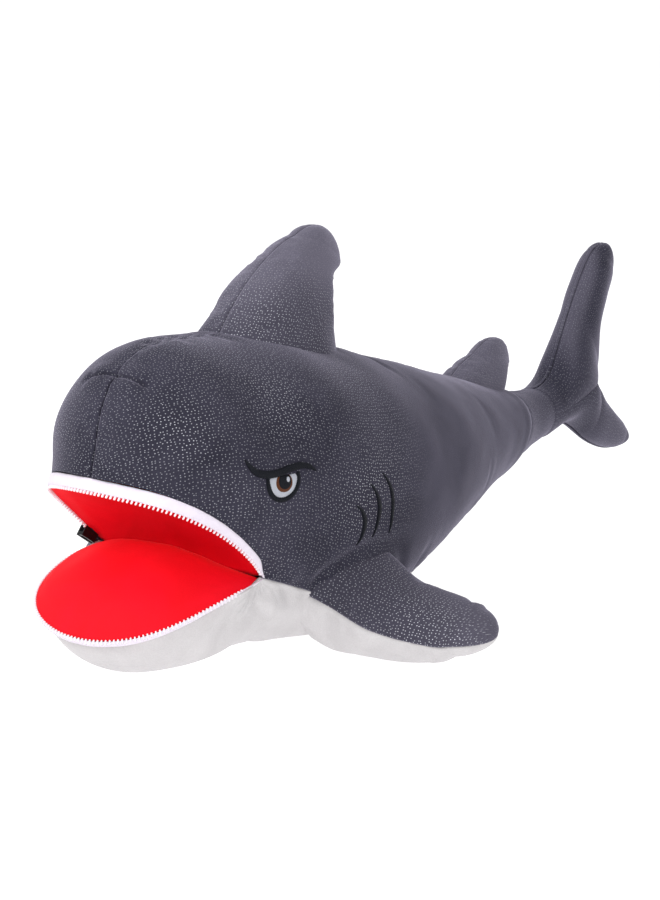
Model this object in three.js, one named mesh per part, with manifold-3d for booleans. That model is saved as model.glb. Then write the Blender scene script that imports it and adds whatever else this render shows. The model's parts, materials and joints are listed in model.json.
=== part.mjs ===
// A stuffed shark, 0.76 m long, with a mouth that opens and closes with a zip.
// Millimetres. The shape is written with x to the shark's left, y towards the tail and z up, from the point on
// the ground below the middle of the line that joins the two corners of the mouth. The group at the end moves it
// to the middle of its own base.
import * as THREE from "three";
import { mergeVertices } from "three/addons/utils/BufferGeometryUtils.js";
import Module from "manifold-3d";

const wasm = await Module();
wasm.setup();

// ---------- driving dimensions ----------
const cornerHeight = 70; // mouth corners above the ground
const cornerHalf = 79; // half the distance between the corners
const lipReach = 118; // corner line to the middle of either lip
const upperLip = 39.5; // slope of the upper lip above the horizon, degrees
const lowerLip = -13; // slope of the lower lip
const skin = 2.6; // fabric with its backing
const gap = 0.5; // left between sewn neighbours
const slack = 1.5; // left between the filling and the skin that holds it
const tapeHeight = 9.6; // zip tape that shows
const trunkEnd = 455; // where the tail stock starts, and its bend
const tailKnuckle = 29; // radius of the round joint face at the tail stock
const tailEnd = 530;
const toothPitch = 3.6;
const toothWidth = 1.9;
const toothTop = 2.9; // bead above the lip plane
const toothRoot = 2.1;
const toothTip = 0.25;
const toothHalf = 1.2; // half the chain's thickness
const pullHang = 15; // how far the pull swings out to hang straight down the lip
const slideStart = 105; // slider's place round the lip, degrees from the middle of the lip
const backTilt = 90; // the head meets the trunk in an upright plane

const lipRadius = (cornerHalf ** 2 + lipReach ** 2) / (2 * lipReach);
const lipCentre = lipReach - lipRadius;

// ---------- outline stations ----------
const stations = [0, 60, 130, 210, 300, 380, 450, 530];
const backLine = smooth(stations, [231, 227, 213, 191, 164, 139, 122, 124]);
const halfWidth = smooth(stations, [104, 115, 116, 103, 76, 49, 26, 14]);
const widestAt = smooth(stations, [122, 118, 108, 102, 102, 101, 100, 104]);
const bellyLine = smooth(stations, [12, 3, -1.3, 6, 28, 53, 76, 87]);
const seamHalf = smooth(stations, [79, 92, 93, 78, 50, 26, 10, 6]);
const seamHeight = smooth(stations, [70, 50, 34, 32, 44, 62, 80, 90]);
const headTilts = [39.5, 52, 62, 74, 90];
const headReach = smooth(headTilts, [118, 130, 146, 158, 161]);
const headHalf = smooth(headTilts, [lipRadius, 91, 96, 101, 104]);
const headWidest = smooth(headTilts, [lipCentre, 37, 42, 47, 52]);
const jawReach = smooth([-90, -60, -35, -13], [57, 80, 104, 118]);

// ---------- helpers ----------
// A smooth curve through stations: cubic pieces whose slopes are weighted means of their neighbours'.
function smooth(xs, ys) {
  const step = xs.slice(1).map((x, i) => x - xs[i]);
  const rise = step.map((h, i) => (ys[i + 1] - ys[i]) / h);
  const slope = ys.map((_, i) => {
    if (i === 0 || i === ys.length - 1) return 0;
    return (rise[i - 1] * step[i] + rise[i] * step[i - 1]) / (step[i] + step[i - 1]);
  });
  const last = ys.length - 1;
  slope[0] = 1.5 * rise[0] - 0.5 * slope[1];
  slope[last] = 1.5 * rise[last - 1] - 0.5 * slope[last - 1];
  return (value) => {
    const x = Math.min(Math.max(value, xs[0]), xs[last]);
    let i = 0;
    while (i < last - 1 && x > xs[i + 1]) i += 1;
    const t = (x - xs[i]) / step[i];
    const a = (2 * t ** 3 - 3 * t ** 2 + 1) * ys[i] + (t ** 3 - 2 * t ** 2 + t) * step[i] * slope[i];
    return a + (3 * t ** 2 - 2 * t ** 3) * ys[i + 1] + (t ** 3 - t ** 2) * step[i] * slope[i + 1];
  };
}

const rad = THREE.MathUtils.degToRad;
const vec = (x, y, z) => new THREE.Vector3(x, y, z);
const spread = (from, to, count) => Array.from({ length: count + 1 }, (_, i) => from + ((to - from) * i) / count);
const grid = (f, us, vs) => us.map((u) => vs.map((v) => f(u, v)));

// Closes quads and triangles over the points into a solid whose faces point out.
function solidOf(points, faces) {
  const positions = [];
  let volume = 0;
  for (const [a, b, c] of faces) {
    positions.push(...points[a].toArray(), ...points[b].toArray(), ...points[c].toArray());
    volume += points[a].dot(vec(0, 0, 0).crossVectors(points[b], points[c]));
  }
  const geometry = new THREE.BufferGeometry();
  geometry.setAttribute("position", new THREE.Float32BufferAttribute(positions, 3));
  const merged = mergeVertices(geometry, 1e-3);
  const index = [];
  const old = merged.index.array;
  for (let i = 0; i < old.length; i += 3) {
    const [a, b, c] = volume < 0 ? [old[i + 2], old[i + 1], old[i]] : [old[i], old[i + 1], old[i + 2]];
    if (a !== b && b !== c && a !== c) index.push(a, b, c);
  }
  return new wasm.Manifold(
    new wasm.Mesh({
      numProp: 3,
      vertProperties: merged.attributes.position.array,
      triVerts: new Uint32Array(index),
    }),
  );
}

function quadFaces(rows, columns, at, flip = false) {
  const faces = [];
  for (let i = 0; i < rows - 1; i += 1) {
    for (let j = 0; j < columns - 1; j += 1) {
      const [a, b, c, d] = [at(i, j), at(i, j + 1), at(i + 1, j + 1), at(i + 1, j)];
      faces.push(...(flip ? [[c, b, a], [d, c, a]] : [[a, b, c], [a, c, d]]));
    }
  }
  return faces;
}

// A sheet with thickness: two grids of the same size, joined round their edges.
function sheetBetween(outer, inner) {
  const rows = outer.length;
  const columns = outer[0].length;
  const points = [...outer.flat(), ...inner.flat()];
  const front = (i, j) => i * columns + j;
  const back = (i, j) => rows * columns + i * columns + j;
  const faces = [...quadFaces(rows, columns, front), ...quadFaces(rows, columns, back, true)];
  const rim = [];
  for (let j = 0; j < columns; j += 1) rim.push([0, j]);
  for (let i = 1; i < rows; i += 1) rim.push([i, columns - 1]);
  for (let j = columns - 2; j >= 0; j -= 1) rim.push([rows - 1, j]);
  for (let i = rows - 2; i > 0; i -= 1) rim.push([i, 0]);
  rim.forEach(([i, j], k) => {
    const [m, n] = rim[(k + 1) % rim.length];
    faces.push([front(i, j), back(i, j), back(m, n)], [front(i, j), back(m, n), front(m, n)]);
  });
  return solidOf(points, faces);
}

// A solid tube through closed rings, with a flat cap at each end.
function loft(rings) {
  const count = rings[0].length;
  const points = rings.flat();
  const faces = [];
  for (let i = 0; i < rings.length - 1; i += 1) {
    for (let j = 0; j < count; j += 1) {
      const k = (j + 1) % count;
      const [a, b, c, d] = [i * count + j, i * count + k, (i + 1) * count + k, (i + 1) * count + j];
      faces.push([a, b, c], [a, c, d]);
    }
  }
  for (const i of [0, rings.length - 1]) {
    const middle = rings[i].reduce((sum, p) => sum.add(p), vec(0, 0, 0)).divideScalar(count);
    points.push(middle);
    for (let j = 0; j < count; j += 1) {
      const [a, b] = [i * count + j, i * count + ((j + 1) % count)];
      faces.push(i ? [points.length - 1, a, b] : [points.length - 1, b, a]);
    }
  }
  return solidOf(points, faces);
}

// The inside of a surface f(u, v): each point moved by the depth along the surface's own normal, towards a point
// that lies within.
function inward(f, depth, within) {
  const e = 1e-3;
  return (u, v) => {
    const p = f(u, v);
    const du = f(u + e, v).sub(f(u - e, v));
    const dv = f(u, v + e).sub(f(u, v - e));
    const normal = du.cross(dv).normalize();
    if (normal.dot(within(p).sub(p)) < 0) normal.negate();
    return p.addScaledVector(normal, depth);
  };
}

const mirrored = (solid) => solid.mirror([1, 0, 0]);
function box(from, to) {
  const size = to.map((x, i) => x - from[i]);
  const geometry = new THREE.BoxGeometry(...size);
  geometry.translate(...from.map((x, i) => x + size[i] / 2));
  return manifoldOf(geometry);
}
function manifoldOf(geometry) {
  const plain = geometry.clone();
  plain.deleteAttribute("normal");
  plain.deleteAttribute("uv");
  const merged = mergeVertices(plain, 1e-4);
  return new wasm.Manifold(
    new wasm.Mesh({
      numProp: 3,
      vertProperties: merged.attributes.position.array,
      triVerts: new Uint32Array(merged.index.array),
    }),
  );
}
function geometryOf(solid) {
  const mesh = solid.getMesh();
  const geometry = new THREE.BufferGeometry();
  geometry.setAttribute("position", new THREE.BufferAttribute(new Float32Array(mesh.vertProperties), 3));
  geometry.setIndex(new THREE.BufferAttribute(new Uint32Array(mesh.triVerts), 1));
  geometry.computeVertexNormals();
  return geometry;
}

// ---------- the body's surfaces ----------
// Half of a section: an ellipse from the top (t 0) past the widest point to the seam (t 1).
function greySection(t, half, top, widest, seamX, seamZ) {
  const end = Math.PI - Math.asin(Math.min(1, seamX / half));
  const low = (widest - seamZ) / Math.abs(Math.cos(end));
  const c = Math.cos(t * end);
  return [half * Math.sin(t * end), widest + (c > 0 ? top - widest : low) * c];
}
function headPoint(tilt, t) {
  const [x, r] = greySection(t, headHalf(tilt), headReach(tilt), headWidest(tilt), cornerHalf, 0);
  return vec(x, -r * Math.cos(rad(tilt)), cornerHeight + r * Math.sin(rad(tilt)));
}
function trunkPoint(y, t) {
  const [x, z] = greySection(t, halfWidth(y), backLine(y), widestAt(y), seamHalf(y), seamHeight(y));
  return vec(x, y, z);
}
// White underside: a full, boxy quarter from the seam (t 0) to the middle of the belly (t 1).
function bellyPoint(y, t) {
  const c = Math.max(0, Math.cos((t * Math.PI) / 2)) ** 0.83;
  const s = Math.sin((t * Math.PI) / 2) ** 0.83;
  return vec(seamHalf(y) * c, y, seamHeight(y) - (seamHeight(y) - bellyLine(y)) * s);
}
// Lower jaw: the lip's arc at the top turns into the belly's boxy section at the throat. t 0 is the corner.
function jawPoint(tilt, t) {
  const blend = ((tilt - lowerLip) / (-90 - lowerLip)) ** 0.8;
  const angle = (1 - t) * (Math.PI - Math.asin(cornerHalf / lipRadius));
  const q = (t * Math.PI) / 2;
  const x = lipRadius * Math.sin(angle) * (1 - blend) + cornerHalf * Math.max(0, Math.cos(q)) ** 0.83 * blend;
  const full = (lipCentre + lipRadius * Math.cos(angle)) * (1 - blend) + lipReach * Math.sin(q) ** 0.83 * blend;
  const r = (full * jawReach(tilt)) / lipReach;
  return vec(x, -r * Math.cos(rad(tilt)), cornerHeight + r * Math.sin(rad(tilt)));
}
// Both halves of a half-section function, with t from -1 (right corner) through 0 (middle) to 1 (left corner).
const acrossTop = (f) => (u, t) => f(u, Math.abs(t)).multiply(vec(Math.sign(t) || 1, 1, 1));
const acrossBase = (f) => (u, t) => f(u, 1 - Math.abs(t)).multiply(vec(Math.sign(t) || 1, 1, 1));

// Frame of a lip: s runs forward from the corner line in the lip's plane, n away from the mouth.
function lipPoint(lip, angle, radius, n) {
  const slope = rad(lip === "upper" ? upperLip : lowerLip);
  const away = lip === "upper" ? 1 : -1;
  const s = lipCentre + radius * Math.cos(angle);
  return vec(
    radius * Math.sin(angle),
    -s * Math.cos(slope) + away * n * Math.sin(slope),
    cornerHeight + s * Math.sin(slope) + away * n * Math.cos(slope),
  );
}
// A block in a lip's frame, from s, n to s, n, as wide as the whole body.
function lipBlock(lip, s0, s1, n0, n1) {
  const slope = rad(lip === "upper" ? upperLip : lowerLip);
  const away = lip === "upper" ? 1 : -1;
  const low = Math.min(away * n0, away * n1);
  const high = Math.max(away * n0, away * n1);
  return box([-200, -s1, low], [200, -s0, high])
    .rotate([(-slope * 180) / Math.PI, 0, 0])
    .translate([0, 0, cornerHeight]);
}

// ---------- body pieces ----------
// All layers of the body use the same rows and columns, so that their facets stay parallel.
const trunkAxis = (p) => vec(0, p.y, THREE.MathUtils.clamp(p.z, bellyLine(p.y) + 20, backLine(p.y) - 20));
const headAxis = (p) => vec(0, Math.min(-30, p.y + 60), 130);
const jawAxis = (p) => vec(0, Math.min(p.y + 30, -12), 55);
const headTilt = (q) => upperLip + (backTilt - upperLip) * q;
const upperBody = (q, t) => (q < 1 ? headPoint(headTilt(q), t) : trunkPoint((q - 1) * trunkEnd, t));
const headRows = spread(0, 0.995, 5);
const trunkRows = spread(5, trunkEnd - 0.5, 11);
const greyColumns = spread(0.003, 0.985, 9);
const whiteColumns = spread(0.03, 1, 5);
const bothWays = (columns) => [...columns.map((t) => -t).reverse(), ...columns];

function sidePanel() {
  const rows = [...headRows, ...trunkRows.map((y) => 1 + y / trunkEnd)];
  const within = (p) => (p.y < 0 ? headAxis(p) : trunkAxis(p));
  const panel = sheetBetween(grid(upperBody, rows, greyColumns), grid(inward(upperBody, skin, within), rows, greyColumns));
  return panel.subtract(lipBlock("upper", 0, 160, -40, tapeHeight + gap)).subtract(tailSocket());
}
function tailSocket() {
  const cylinder = new THREE.CylinderGeometry(tailKnuckle + gap, tailKnuckle + gap, 200, 32);
  cylinder.rotateX(Math.PI / 2);
  cylinder.translate(0, trunkEnd, 100);
  return manifoldOf(cylinder).add(box([-60, trunkEnd, 0], [60, trunkEnd + 60, 200]));
}
const ground = box([-300, -300, -40], [300, 900, 0]);
function bellyPanel() {
  const f = acrossBase(bellyPoint);
  const columns = bothWays(whiteColumns.map((t) => 1 - t).reverse());
  const within = (p) => trunkAxis(p);
  return sheetBetween(grid(f, trunkRows, columns), grid(inward(f, skin + 0.8, within), trunkRows, columns))
    .subtract(tailSocket())
    .subtract(ground);
}
// Everything that the trunk's skin holds, smaller than the skin by the depth (or larger, if it is negative).
function trunkCore(depth, rows) {
  const upper = inward(trunkPoint, depth, trunkAxis);
  const lower = inward(bellyPoint, depth + Math.sign(depth) * 0.8, trunkAxis);
  return loft(
    rows.map((y) => {
      const left = [...greyColumns.map((t) => upper(y, t)), ...whiteColumns.map((t) => lower(y, t))];
      const flat = left.map((p) => vec(Math.max(p.x, 0), y, p.z));
      return [...flat, ...flat.map((p) => vec(-p.x, y, p.z)).reverse()];
    }),
  );
}
// The mouth's padded faces: how far the roof is hollowed and the tongue stands up, at x, s in a lip's plane.
function moundAt(x, s, height) {
  const r = Math.hypot(x, s - lipCentre) / (lipRadius - 5);
  const back = Math.min(1, s / 70);
  return height * Math.max(0, 1 - r ** 2.4) * back * (2 - back);
}
const roofRise = 21;
const tongueRise = 16;
// A face across a lip's disc, from the middle of the corner line (k 0) to its edge (k 1), lifted by lift(x, s).
function mouthFace(lip, reach, lift) {
  const end = Math.PI - Math.asin(cornerHalf / lipRadius);
  const slope = rad(lip === "upper" ? upperLip : lowerLip);
  return (k, t) => {
    const x = reach * Math.sin(t * end) * k;
    const s = Math.max(0, lipCentre + reach * Math.cos(t * end)) * k;
    const n = lift(x, s);
    return vec(
      x,
      -s * Math.cos(slope) + n * Math.sin(slope),
      cornerHeight + s * Math.sin(slope) + n * Math.cos(slope),
    );
  };
}
const mouthRows = [0.08, 0.25, 0.45, 0.65, 0.84, 1];
const mouthColumns = spread(-0.95, 0.95, 14);
const liningReach = lipRadius - 6;
function mouthSheet(lip, near, far, reach = liningReach, rows = mouthRows) {
  return sheetBetween(
    grid(mouthFace(lip, reach, near), rows, mouthColumns),
    grid(mouthFace(lip, reach, far), rows, mouthColumns),
  );
}
const roof = (up) => (x, s) => moundAt(x, s, roofRise) + up;
const tongue = (up) => (x, s) => moundAt(x, s, tongueRise) + up;
const liningRest = 2.5; // lining below or above its lip's plane at the edge
// The ring that the slider's inner plate and the tape sweep, kept free of filling.
function slideWay(lip) {
  const rows = spread(-2, 2, 24);
  const edge = (r) => rows.map((a) => [lipPoint(lip, a, r, -9), lipPoint(lip, a, r, tapeHeight + 1)]);
  return sheetBetween(edge(lipRadius + 14), edge(lipRadius - 5.5));
}
// The filling between a half-section surface and the corner line.
function wedge(f, within, rows, columns, axisReach) {
  const inner = inward(f, skin + slack, within);
  const toAxis = (u, t) => {
    const p = f(u, t);
    const [y, z] = [p.y, p.z - cornerHeight];
    const long = Math.hypot(y, z);
    const x = (THREE.MathUtils.clamp(p.x, -70, 70) * Math.min(1, Math.abs(t) + 0.3)) / 1.3;
    return vec(x, (y / long) * axisReach, cornerHeight + (z / long) * axisReach);
  };
  return sheetBetween(grid(inner, rows, columns), grid(toAxis, rows, columns));
}
function headCore() {
  const f = (q, t) => acrossTop(headPoint)(headTilt(q), t);
  const filling = wedge(f, headAxis, headRows.map((q) => Math.min(Math.max(q, 0.002), 0.99)),
    bothWays(greyColumns.filter((t) => t < 0.95)), 6);
  return filling
    .subtract(mouthSheet("upper", roof(liningRest + skin + 1.3), () => -40, liningReach, [0, ...mouthRows]))
    .subtract(lipBlock("upper", -5, 160, -40, 4))
    .subtract(slideWay("upper"));
}
const jawRows = spread(lowerLip - 0.2, -88.5, 7);
const jawColumns = bothWays(spread(0.02, 0.97, 7));
function jawPanel() {
  const f = acrossBase(jawPoint);
  return sheetBetween(grid(f, jawRows, jawColumns), grid(inward(f, skin, jawAxis), jawRows, jawColumns)).subtract(
    lipBlock("lower", 0, 160, -40, tapeHeight + gap),
  );
}
function jawCore() {
  const columns = jawColumns.filter((t) => Math.abs(t) < 0.9);
  const filling = wedge(acrossBase(jawPoint), jawAxis, jawRows, columns, 9);
  const pad = mouthSheet("lower", tongue(-liningRest - skin - gap), () => -13);
  const f = acrossBase(jawPoint);
  const panel = sheetBetween(
    grid(inward(f, -8, jawAxis), jawRows, jawColumns),
    grid(inward(f, skin + slack, jawAxis), jawRows, jawColumns),
  );
  return filling
    .subtract(lipBlock("lower", -5, 160, -40, 8))
    .add(pad.subtract(lipBlock("lower", -5, 12, -60, 60)).subtract(panel))
    .subtract(slideWay("lower"));
}

// ---------- zip ----------
function tape(lip, reach) {
  const rows = spread(-rad(reach), rad(reach), 34);
  const flare = lip === "upper" ? 2.6 : -3;
  const edge = (r) =>
    rows.map((a) => [lipPoint(lip, a, r, toothTop + 0.2), lipPoint(lip, a, r + flare, tapeHeight)]);
  return sheetBetween(edge(lipRadius + 0.5), edge(lipRadius - 0.5));
}
// One row of teeth on its bead, bent round the lip.
function teeth(lip, reach) {
  const count = Math.floor((2 * rad(reach) * lipRadius) / toothPitch);
  const start = (-count * toothPitch) / 2;
  const points = [];
  const faces = [];
  const put = (arc, n) => {
    const pair = [lipRadius + toothHalf, lipRadius - toothHalf];
    for (const r of pair) points.push(lipPoint(lip, arc / lipRadius, r, n));
    return points.length - 2;
  };
  const face = (a, b, c) => faces.push([a, b, c], [c + 1, b + 1, a + 1]);
  const wall = (a, b) => faces.push([b, a, a + 1], [b, a + 1, b + 1]);
  let top = put(start, toothTop);
  let root = put(start, toothRoot);
  wall(top, root);
  for (let k = 0; k < count; k += 1) {
    const arc = start + k * toothPitch;
    const tip = put(arc + 0.15, toothTip);
    const tipEnd = put(arc + toothWidth - 0.15, toothTip);
    const rootEnd = put(arc + toothWidth, toothRoot);
    const nextTop = put(arc + toothPitch, toothTop);
    const nextRoot = put(arc + toothPitch, toothRoot);
    face(top, root, rootEnd);
    face(top, rootEnd, nextTop);
    face(nextTop, rootEnd, nextRoot);
    face(root, tip, tipEnd);
    face(root, tipEnd, rootEnd);
    wall(root, tip);
    wall(tip, tipEnd);
    wall(tipEnd, rootEnd);
    wall(rootEnd, nextRoot);
    wall(nextTop, top);
    [top, root] = [nextTop, nextRoot];
  }
  wall(root, top);
  return solidOf(points, faces);
}
// Puts a solid made in the slider's own frame (x along the zip, y outwards, z across it) on the upper lip.
function placeOnLip(solid, degrees) {
  const a = rad(degrees);
  const at = lipPoint("upper", a, lipRadius, 0);
  const out = lipPoint("upper", a, lipRadius + 1, 0).sub(at);
  const up = lipPoint("upper", a, lipRadius, 1).sub(at);
  const along = vec(0, 0, 0).crossVectors(out, up);
  const m = new THREE.Matrix4().makeBasis(along, out, up).setPosition(at);
  return solid.transform(m.toArray());
}
const plateLength = 12.5;
const crownReach = 7.4;
function sliderBlock() {
  const half = plateLength / 2;
  const outer = box([-half, 2.4, -4.4], [half, 3.8, 4.4]);
  const inner = box([-half, -3.8, -4.4], [half, -2.4, 4.4]);
  const post = box([-half, -2.6, -4.0], [-half + 2.4, 2.6, -1.2]);
  const crown = box([-4, 3.7, -1.3], [3.2, crownReach, 1.3]).subtract(box([-2.8, 3.6, -2], [1.8, 6.1, 2]));
  return outer.add(inner).add(post).add(crown);
}
function pullTab() {
  const shape = new THREE.Shape();
  shape.moveTo(0, -2.6);
  shape.lineTo(15, -3.2);
  shape.absarc(15, 0, 3.2, -Math.PI / 2, Math.PI / 2, false);
  shape.lineTo(0, 2.6);
  shape.absarc(0, 0, 2.6, Math.PI / 2, (3 * Math.PI) / 2, false);
  const window = new THREE.Path();
  window.moveTo(-0.9, -1.75);
  window.lineTo(-0.9, 1.75);
  window.lineTo(4.2, 1.75);
  window.lineTo(4.2, -1.75);
  shape.holes.push(window);
  const geometry = new THREE.ExtrudeGeometry(shape, { depth: 1, bevelEnabled: false, curveSegments: 6 });
  geometry.translate(1.75, 0, -0.5);
  geometry.rotateX(Math.PI / 2);
  return manifoldOf(geometry);
}

// ---------- fins ----------
// A fin from root to tip: its leading and trailing edges and half its thickness, each smooth through stations.
function finShape(leading, trailing, halfThick, side) {
  const keys = leading.map((_, i) => i);
  const line = (points) => [0, 1, 2].map((axis) => smooth(keys, points.map((p) => p[axis])));
  const [front, rear] = [line(leading), line(trailing)];
  const thick = smooth(keys, halfThick);
  const last = keys.length - 1;
  const across = vec(...side).normalize();
  // s 0 root .. 1 tip, turn 0 on one face, 90 and -90 degrees at the edges, inset from the outer surface.
  return (s, turn, inset = 0) => {
    const u = Math.min(s * last, last - inset * 0.03);
    const a = vec(...front.map((f) => f(u)));
    const b = vec(...rear.map((f) => f(u)));
    const middle = a.clone().add(b).multiplyScalar(0.5);
    const chord = b.sub(a).multiplyScalar(0.5);
    const reach = Math.max(chord.length() - inset, 0.3);
    const c = Math.cos(turn);
    const full = Math.sign(c) * Math.abs(c) ** 0.8;
    return middle
      .addScaledVector(chord.normalize(), reach * Math.sin(turn))
      .addScaledVector(across, Math.max(thick(u) - inset, 0.2) * full);
  };
}
const finRows = spread(0, 0.97, 7);
const finTurns = spread(-1.52, 1.52, 6);
function finHalf(fin, middle) {
  const columns = finTurns.map((a) => a + middle);
  return sheetBetween(grid((s, a) => fin(s, a), finRows, columns), grid((s, a) => fin(s, a, skin), finRows, columns));
}
function finBody(fin, depth, rows) {
  const around = [...finTurns, ...finTurns.map((a) => a + Math.PI)];
  return loft(rows.map((s) => around.map((a) => fin(s, a, depth))));
}
const finCore = (fin) => finBody(fin, skin + gap, finRows.slice(0, -2));
const dorsal = finShape(
  [[0, 34, 216], [0, 60, 238], [0, 94, 263], [0, 126, 283], [0, 150, 292], [0, 170, 291]],
  [[0, 186, 186], [0, 182, 220], [0, 184, 246], [0, 190, 266], [0, 187, 280], [0, 170, 291]],
  [34, 32, 27, 20, 12, 1],
  [1, 0, 0],
);
const secondDorsal = finShape(
  [[0, 340, 138], [0, 361, 159], [0, 384, 173], [0, 406, 175]],
  [[0, 422, 118], [0, 429, 148], [0, 429, 166], [0, 406, 175]],
  [18, 16, 11, 1],
  [1, 0, 0],
);
const upperLobe = finShape(
  [[0, 452, 106], [0, 494, 126], [0, 521, 160], [0, 547, 200], [0, 568, 228], [0, 588, 240]],
  [[0, 562, 100], [0, 578, 128], [0, 588, 165], [0, 603, 200], [0, 606, 226], [0, 588, 240]],
  [15, 17, 17, 16, 11, 1],
  [1, 0, 0],
);
const lowerLobe = finShape(
  [[0, 474, 106], [0, 524, 86], [0, 563, 61], [0, 600, 46], [0, 626, 46]],
  [[0, 566, 140], [0, 588, 112], [0, 616, 84], [0, 637, 58], [0, 626, 46]],
  [15, 16, 15, 11, 1],
  [1, 0, 0],
);
const sideFin = finShape(
  [[80, 46, 48], [110, 59, 43], [144, 75, 33], [171, 85, 24], [191, 96, 18], [200, 107, 17]],
  [[80, 148, 72], [114, 138, 60], [148, 131, 42], [174, 127, 30], [191, 119, 21], [200, 107, 17]],
  [27, 25, 20, 15, 10, 1],
  [0.35, -0.1, 0.93],
);

// The whole outside of head and trunk as one solid, a little larger, used to trim what is sewn on to it.
function bodyHull(grow) {
  const f = inward((q, t) => acrossTop(headPoint)(headTilt(q), t), -grow, headAxis);
  const columns = bothWays(greyColumns);
  const head = sheetBetween(
    grid(f, headRows, columns),
    grid((q, t) => vec(70 * t, 6, cornerHeight + 4), headRows, columns),
  );
  return trunkCore(-grow, [-0.5, ...trunkRows, trunkEnd + 30]).add(head);
}

// ---------- tail ----------
function tailForm(depth) {
  const stockTop = inward(trunkPoint, depth, trunkAxis);
  const stockBase = inward(bellyPoint, depth, trunkAxis);
  const stock = loft(
    spread(trunkEnd - 40, tailEnd - depth, 7).map((y) => {
      const left = [
        ...spread(0.04, 0.96, 5).map((t) => stockTop(y, t)),
        ...spread(0.3, 0.94, 2).map((t) => stockBase(y, t)),
      ];
      const flat = left.map((p) => vec(Math.max(p.x, 0.3), y, p.z));
      return [...flat, ...flat.map((p) => vec(-p.x, y, p.z)).reverse()];
    }),
  );
  const rows = spread(0, 0.97, 7).slice(0, depth ? -1 : 8);
  if (depth) rows[0] = 0.03;
  return stock.add(finBody(upperLobe, depth, rows)).add(finBody(lowerLobe, depth, rows));
}
function tailPieces() {
  const knuckle = new THREE.CylinderGeometry(tailKnuckle, tailKnuckle, 200, 32);
  knuckle.rotateX(Math.PI / 2);
  knuckle.translate(0, trunkEnd, 100);
  const behind = box([-80, trunkEnd, -20], [80, 700, 300]).add(manifoldOf(knuckle));
  const shell = tailForm(0).subtract(tailForm(skin));
  return {
    panel: shell.intersect(behind).intersect(box([gap / 2, 0, -20], [120, 700, 300])),
    core: tailForm(skin + slack).intersect(tailForm(skin)).intersect(behind),
  };
}

// ---------- embroidery ----------
// The side of the body at y, z: the x of the skin.
function sideAt(y, z) {
  const tilt = THREE.MathUtils.radToDeg(Math.atan2(z - cornerHeight, -y));
  const onHead = y < 0;
  const half = onHead ? headHalf(tilt) : halfWidth(y);
  const widest = onHead ? headWidest(tilt) : widestAt(y) - cornerHeight;
  const top = onHead ? headReach(tilt) : backLine(y) - cornerHeight;
  const seamX = onHead ? cornerHalf : seamHalf(y);
  const seamR = onHead ? 0 : seamHeight(y) - cornerHeight;
  const r = onHead ? Math.hypot(y, z - cornerHeight) : z - cornerHeight;
  const low = (widest - seamR) / Math.sqrt(1 - (seamX / half) ** 2);
  const share = (r - widest) / (r > widest ? top - widest : low);
  return half * Math.sqrt(Math.max(0, 1 - share ** 2));
}
// A patch of stitches: an outline in y, z round a centre, laid on the skin from lift to lift + thick.
function patch(centre, outline, lift, thick) {
  const at = ([y, z], up) => vec(sideAt(y, z) + up, y, z);
  const ring = (share) => outline.map(([y, z]) => [centre[0] + (y - centre[0]) * share, centre[1] + (z - centre[1]) * share]);
  const [rim, half] = [ring(1), ring(0.5)];
  const points = [
    at(centre, lift + thick),
    ...half.map((p) => at(p, lift + thick)),
    ...rim.map((p) => at(p, lift + thick)),
    ...rim.map((p) => at(p, lift)),
    at(centre, lift),
  ];
  const n = outline.length;
  const faces = [];
  for (let i = 0; i < n; i += 1) {
    const j = (i + 1) % n;
    faces.push([0, 1 + i, 1 + j], [1 + i, 1 + n + i, 1 + n + j], [1 + i, 1 + n + j, 1 + j]);
    faces.push([1 + n + i, 1 + 2 * n + i, 1 + 2 * n + j], [1 + n + i, 1 + 2 * n + j, 1 + n + j]);
    faces.push([1 + 3 * n, 1 + 2 * n + j, 1 + 2 * n + i]);
  }
  return solidOf(points, faces);
}
// A band of stitches along a line of [y, z, half width].
function band(line, lift, thick) {
  const sides = line.map(([y, z, w], i) => {
    const [a, b] = [line[Math.max(i - 1, 0)], line[Math.min(i + 1, line.length - 1)]];
    const [dy, dz] = [b[0] - a[0], b[1] - a[1]];
    const long = Math.hypot(dy, dz);
    return [[y - (dz / long) * w, z + (dy / long) * w], [y + (dz / long) * w, z - (dy / long) * w]];
  });
  const level = (up) => sides.map((pair) => pair.map(([y, z]) => vec(sideAt(y, z) + up, y, z)));
  return sheetBetween(level(lift + thick), level(lift));
}
// The white is round below and cut off straight under the brow.
const eyeAt = [-0.4, 140];
const eyeHalf = [14, 11.2];
const browEdge = 145.6;
const eyeOutline = spread(0, 2 * Math.PI, 18)
  .slice(0, 18)
  .map((a) => [eyeAt[0] + eyeHalf[0] * Math.sin(a), Math.min(eyeAt[1] - eyeHalf[1] * Math.cos(a), browEdge)]);
const oval = (y, z, a, b) =>
  spread(0, 2 * Math.PI, 12)
    .slice(0, 12)
    .map((t) => [y + a * Math.sin(t), Math.min(z + b * Math.cos(t), browEdge - 0.2)]);
const browLine = [
  [-43, 162.5, 0.5], [-37.5, 156, 1.6], [-31, 151.8, 2.2], [-24, 149.4, 2.5], [-11, 148.6, 2.4], [3, 149, 2.4],
  [16, 149, 2.3], [23, 147.8, 2], [29, 145.8, 1.4], [33, 143.2, 0.5],
];
const rimLine = [
  [-16.6, 146, 1], [-16.2, 140.5, 1.3], [-13, 133, 1.4], [-7, 128.2, 1.5], [-0.6, 126.8, 1.5], [6, 128.2, 1.5],
  [12, 132.8, 1.4], [15.3, 139.5, 1.3], [15.6, 146, 1],
];
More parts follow.
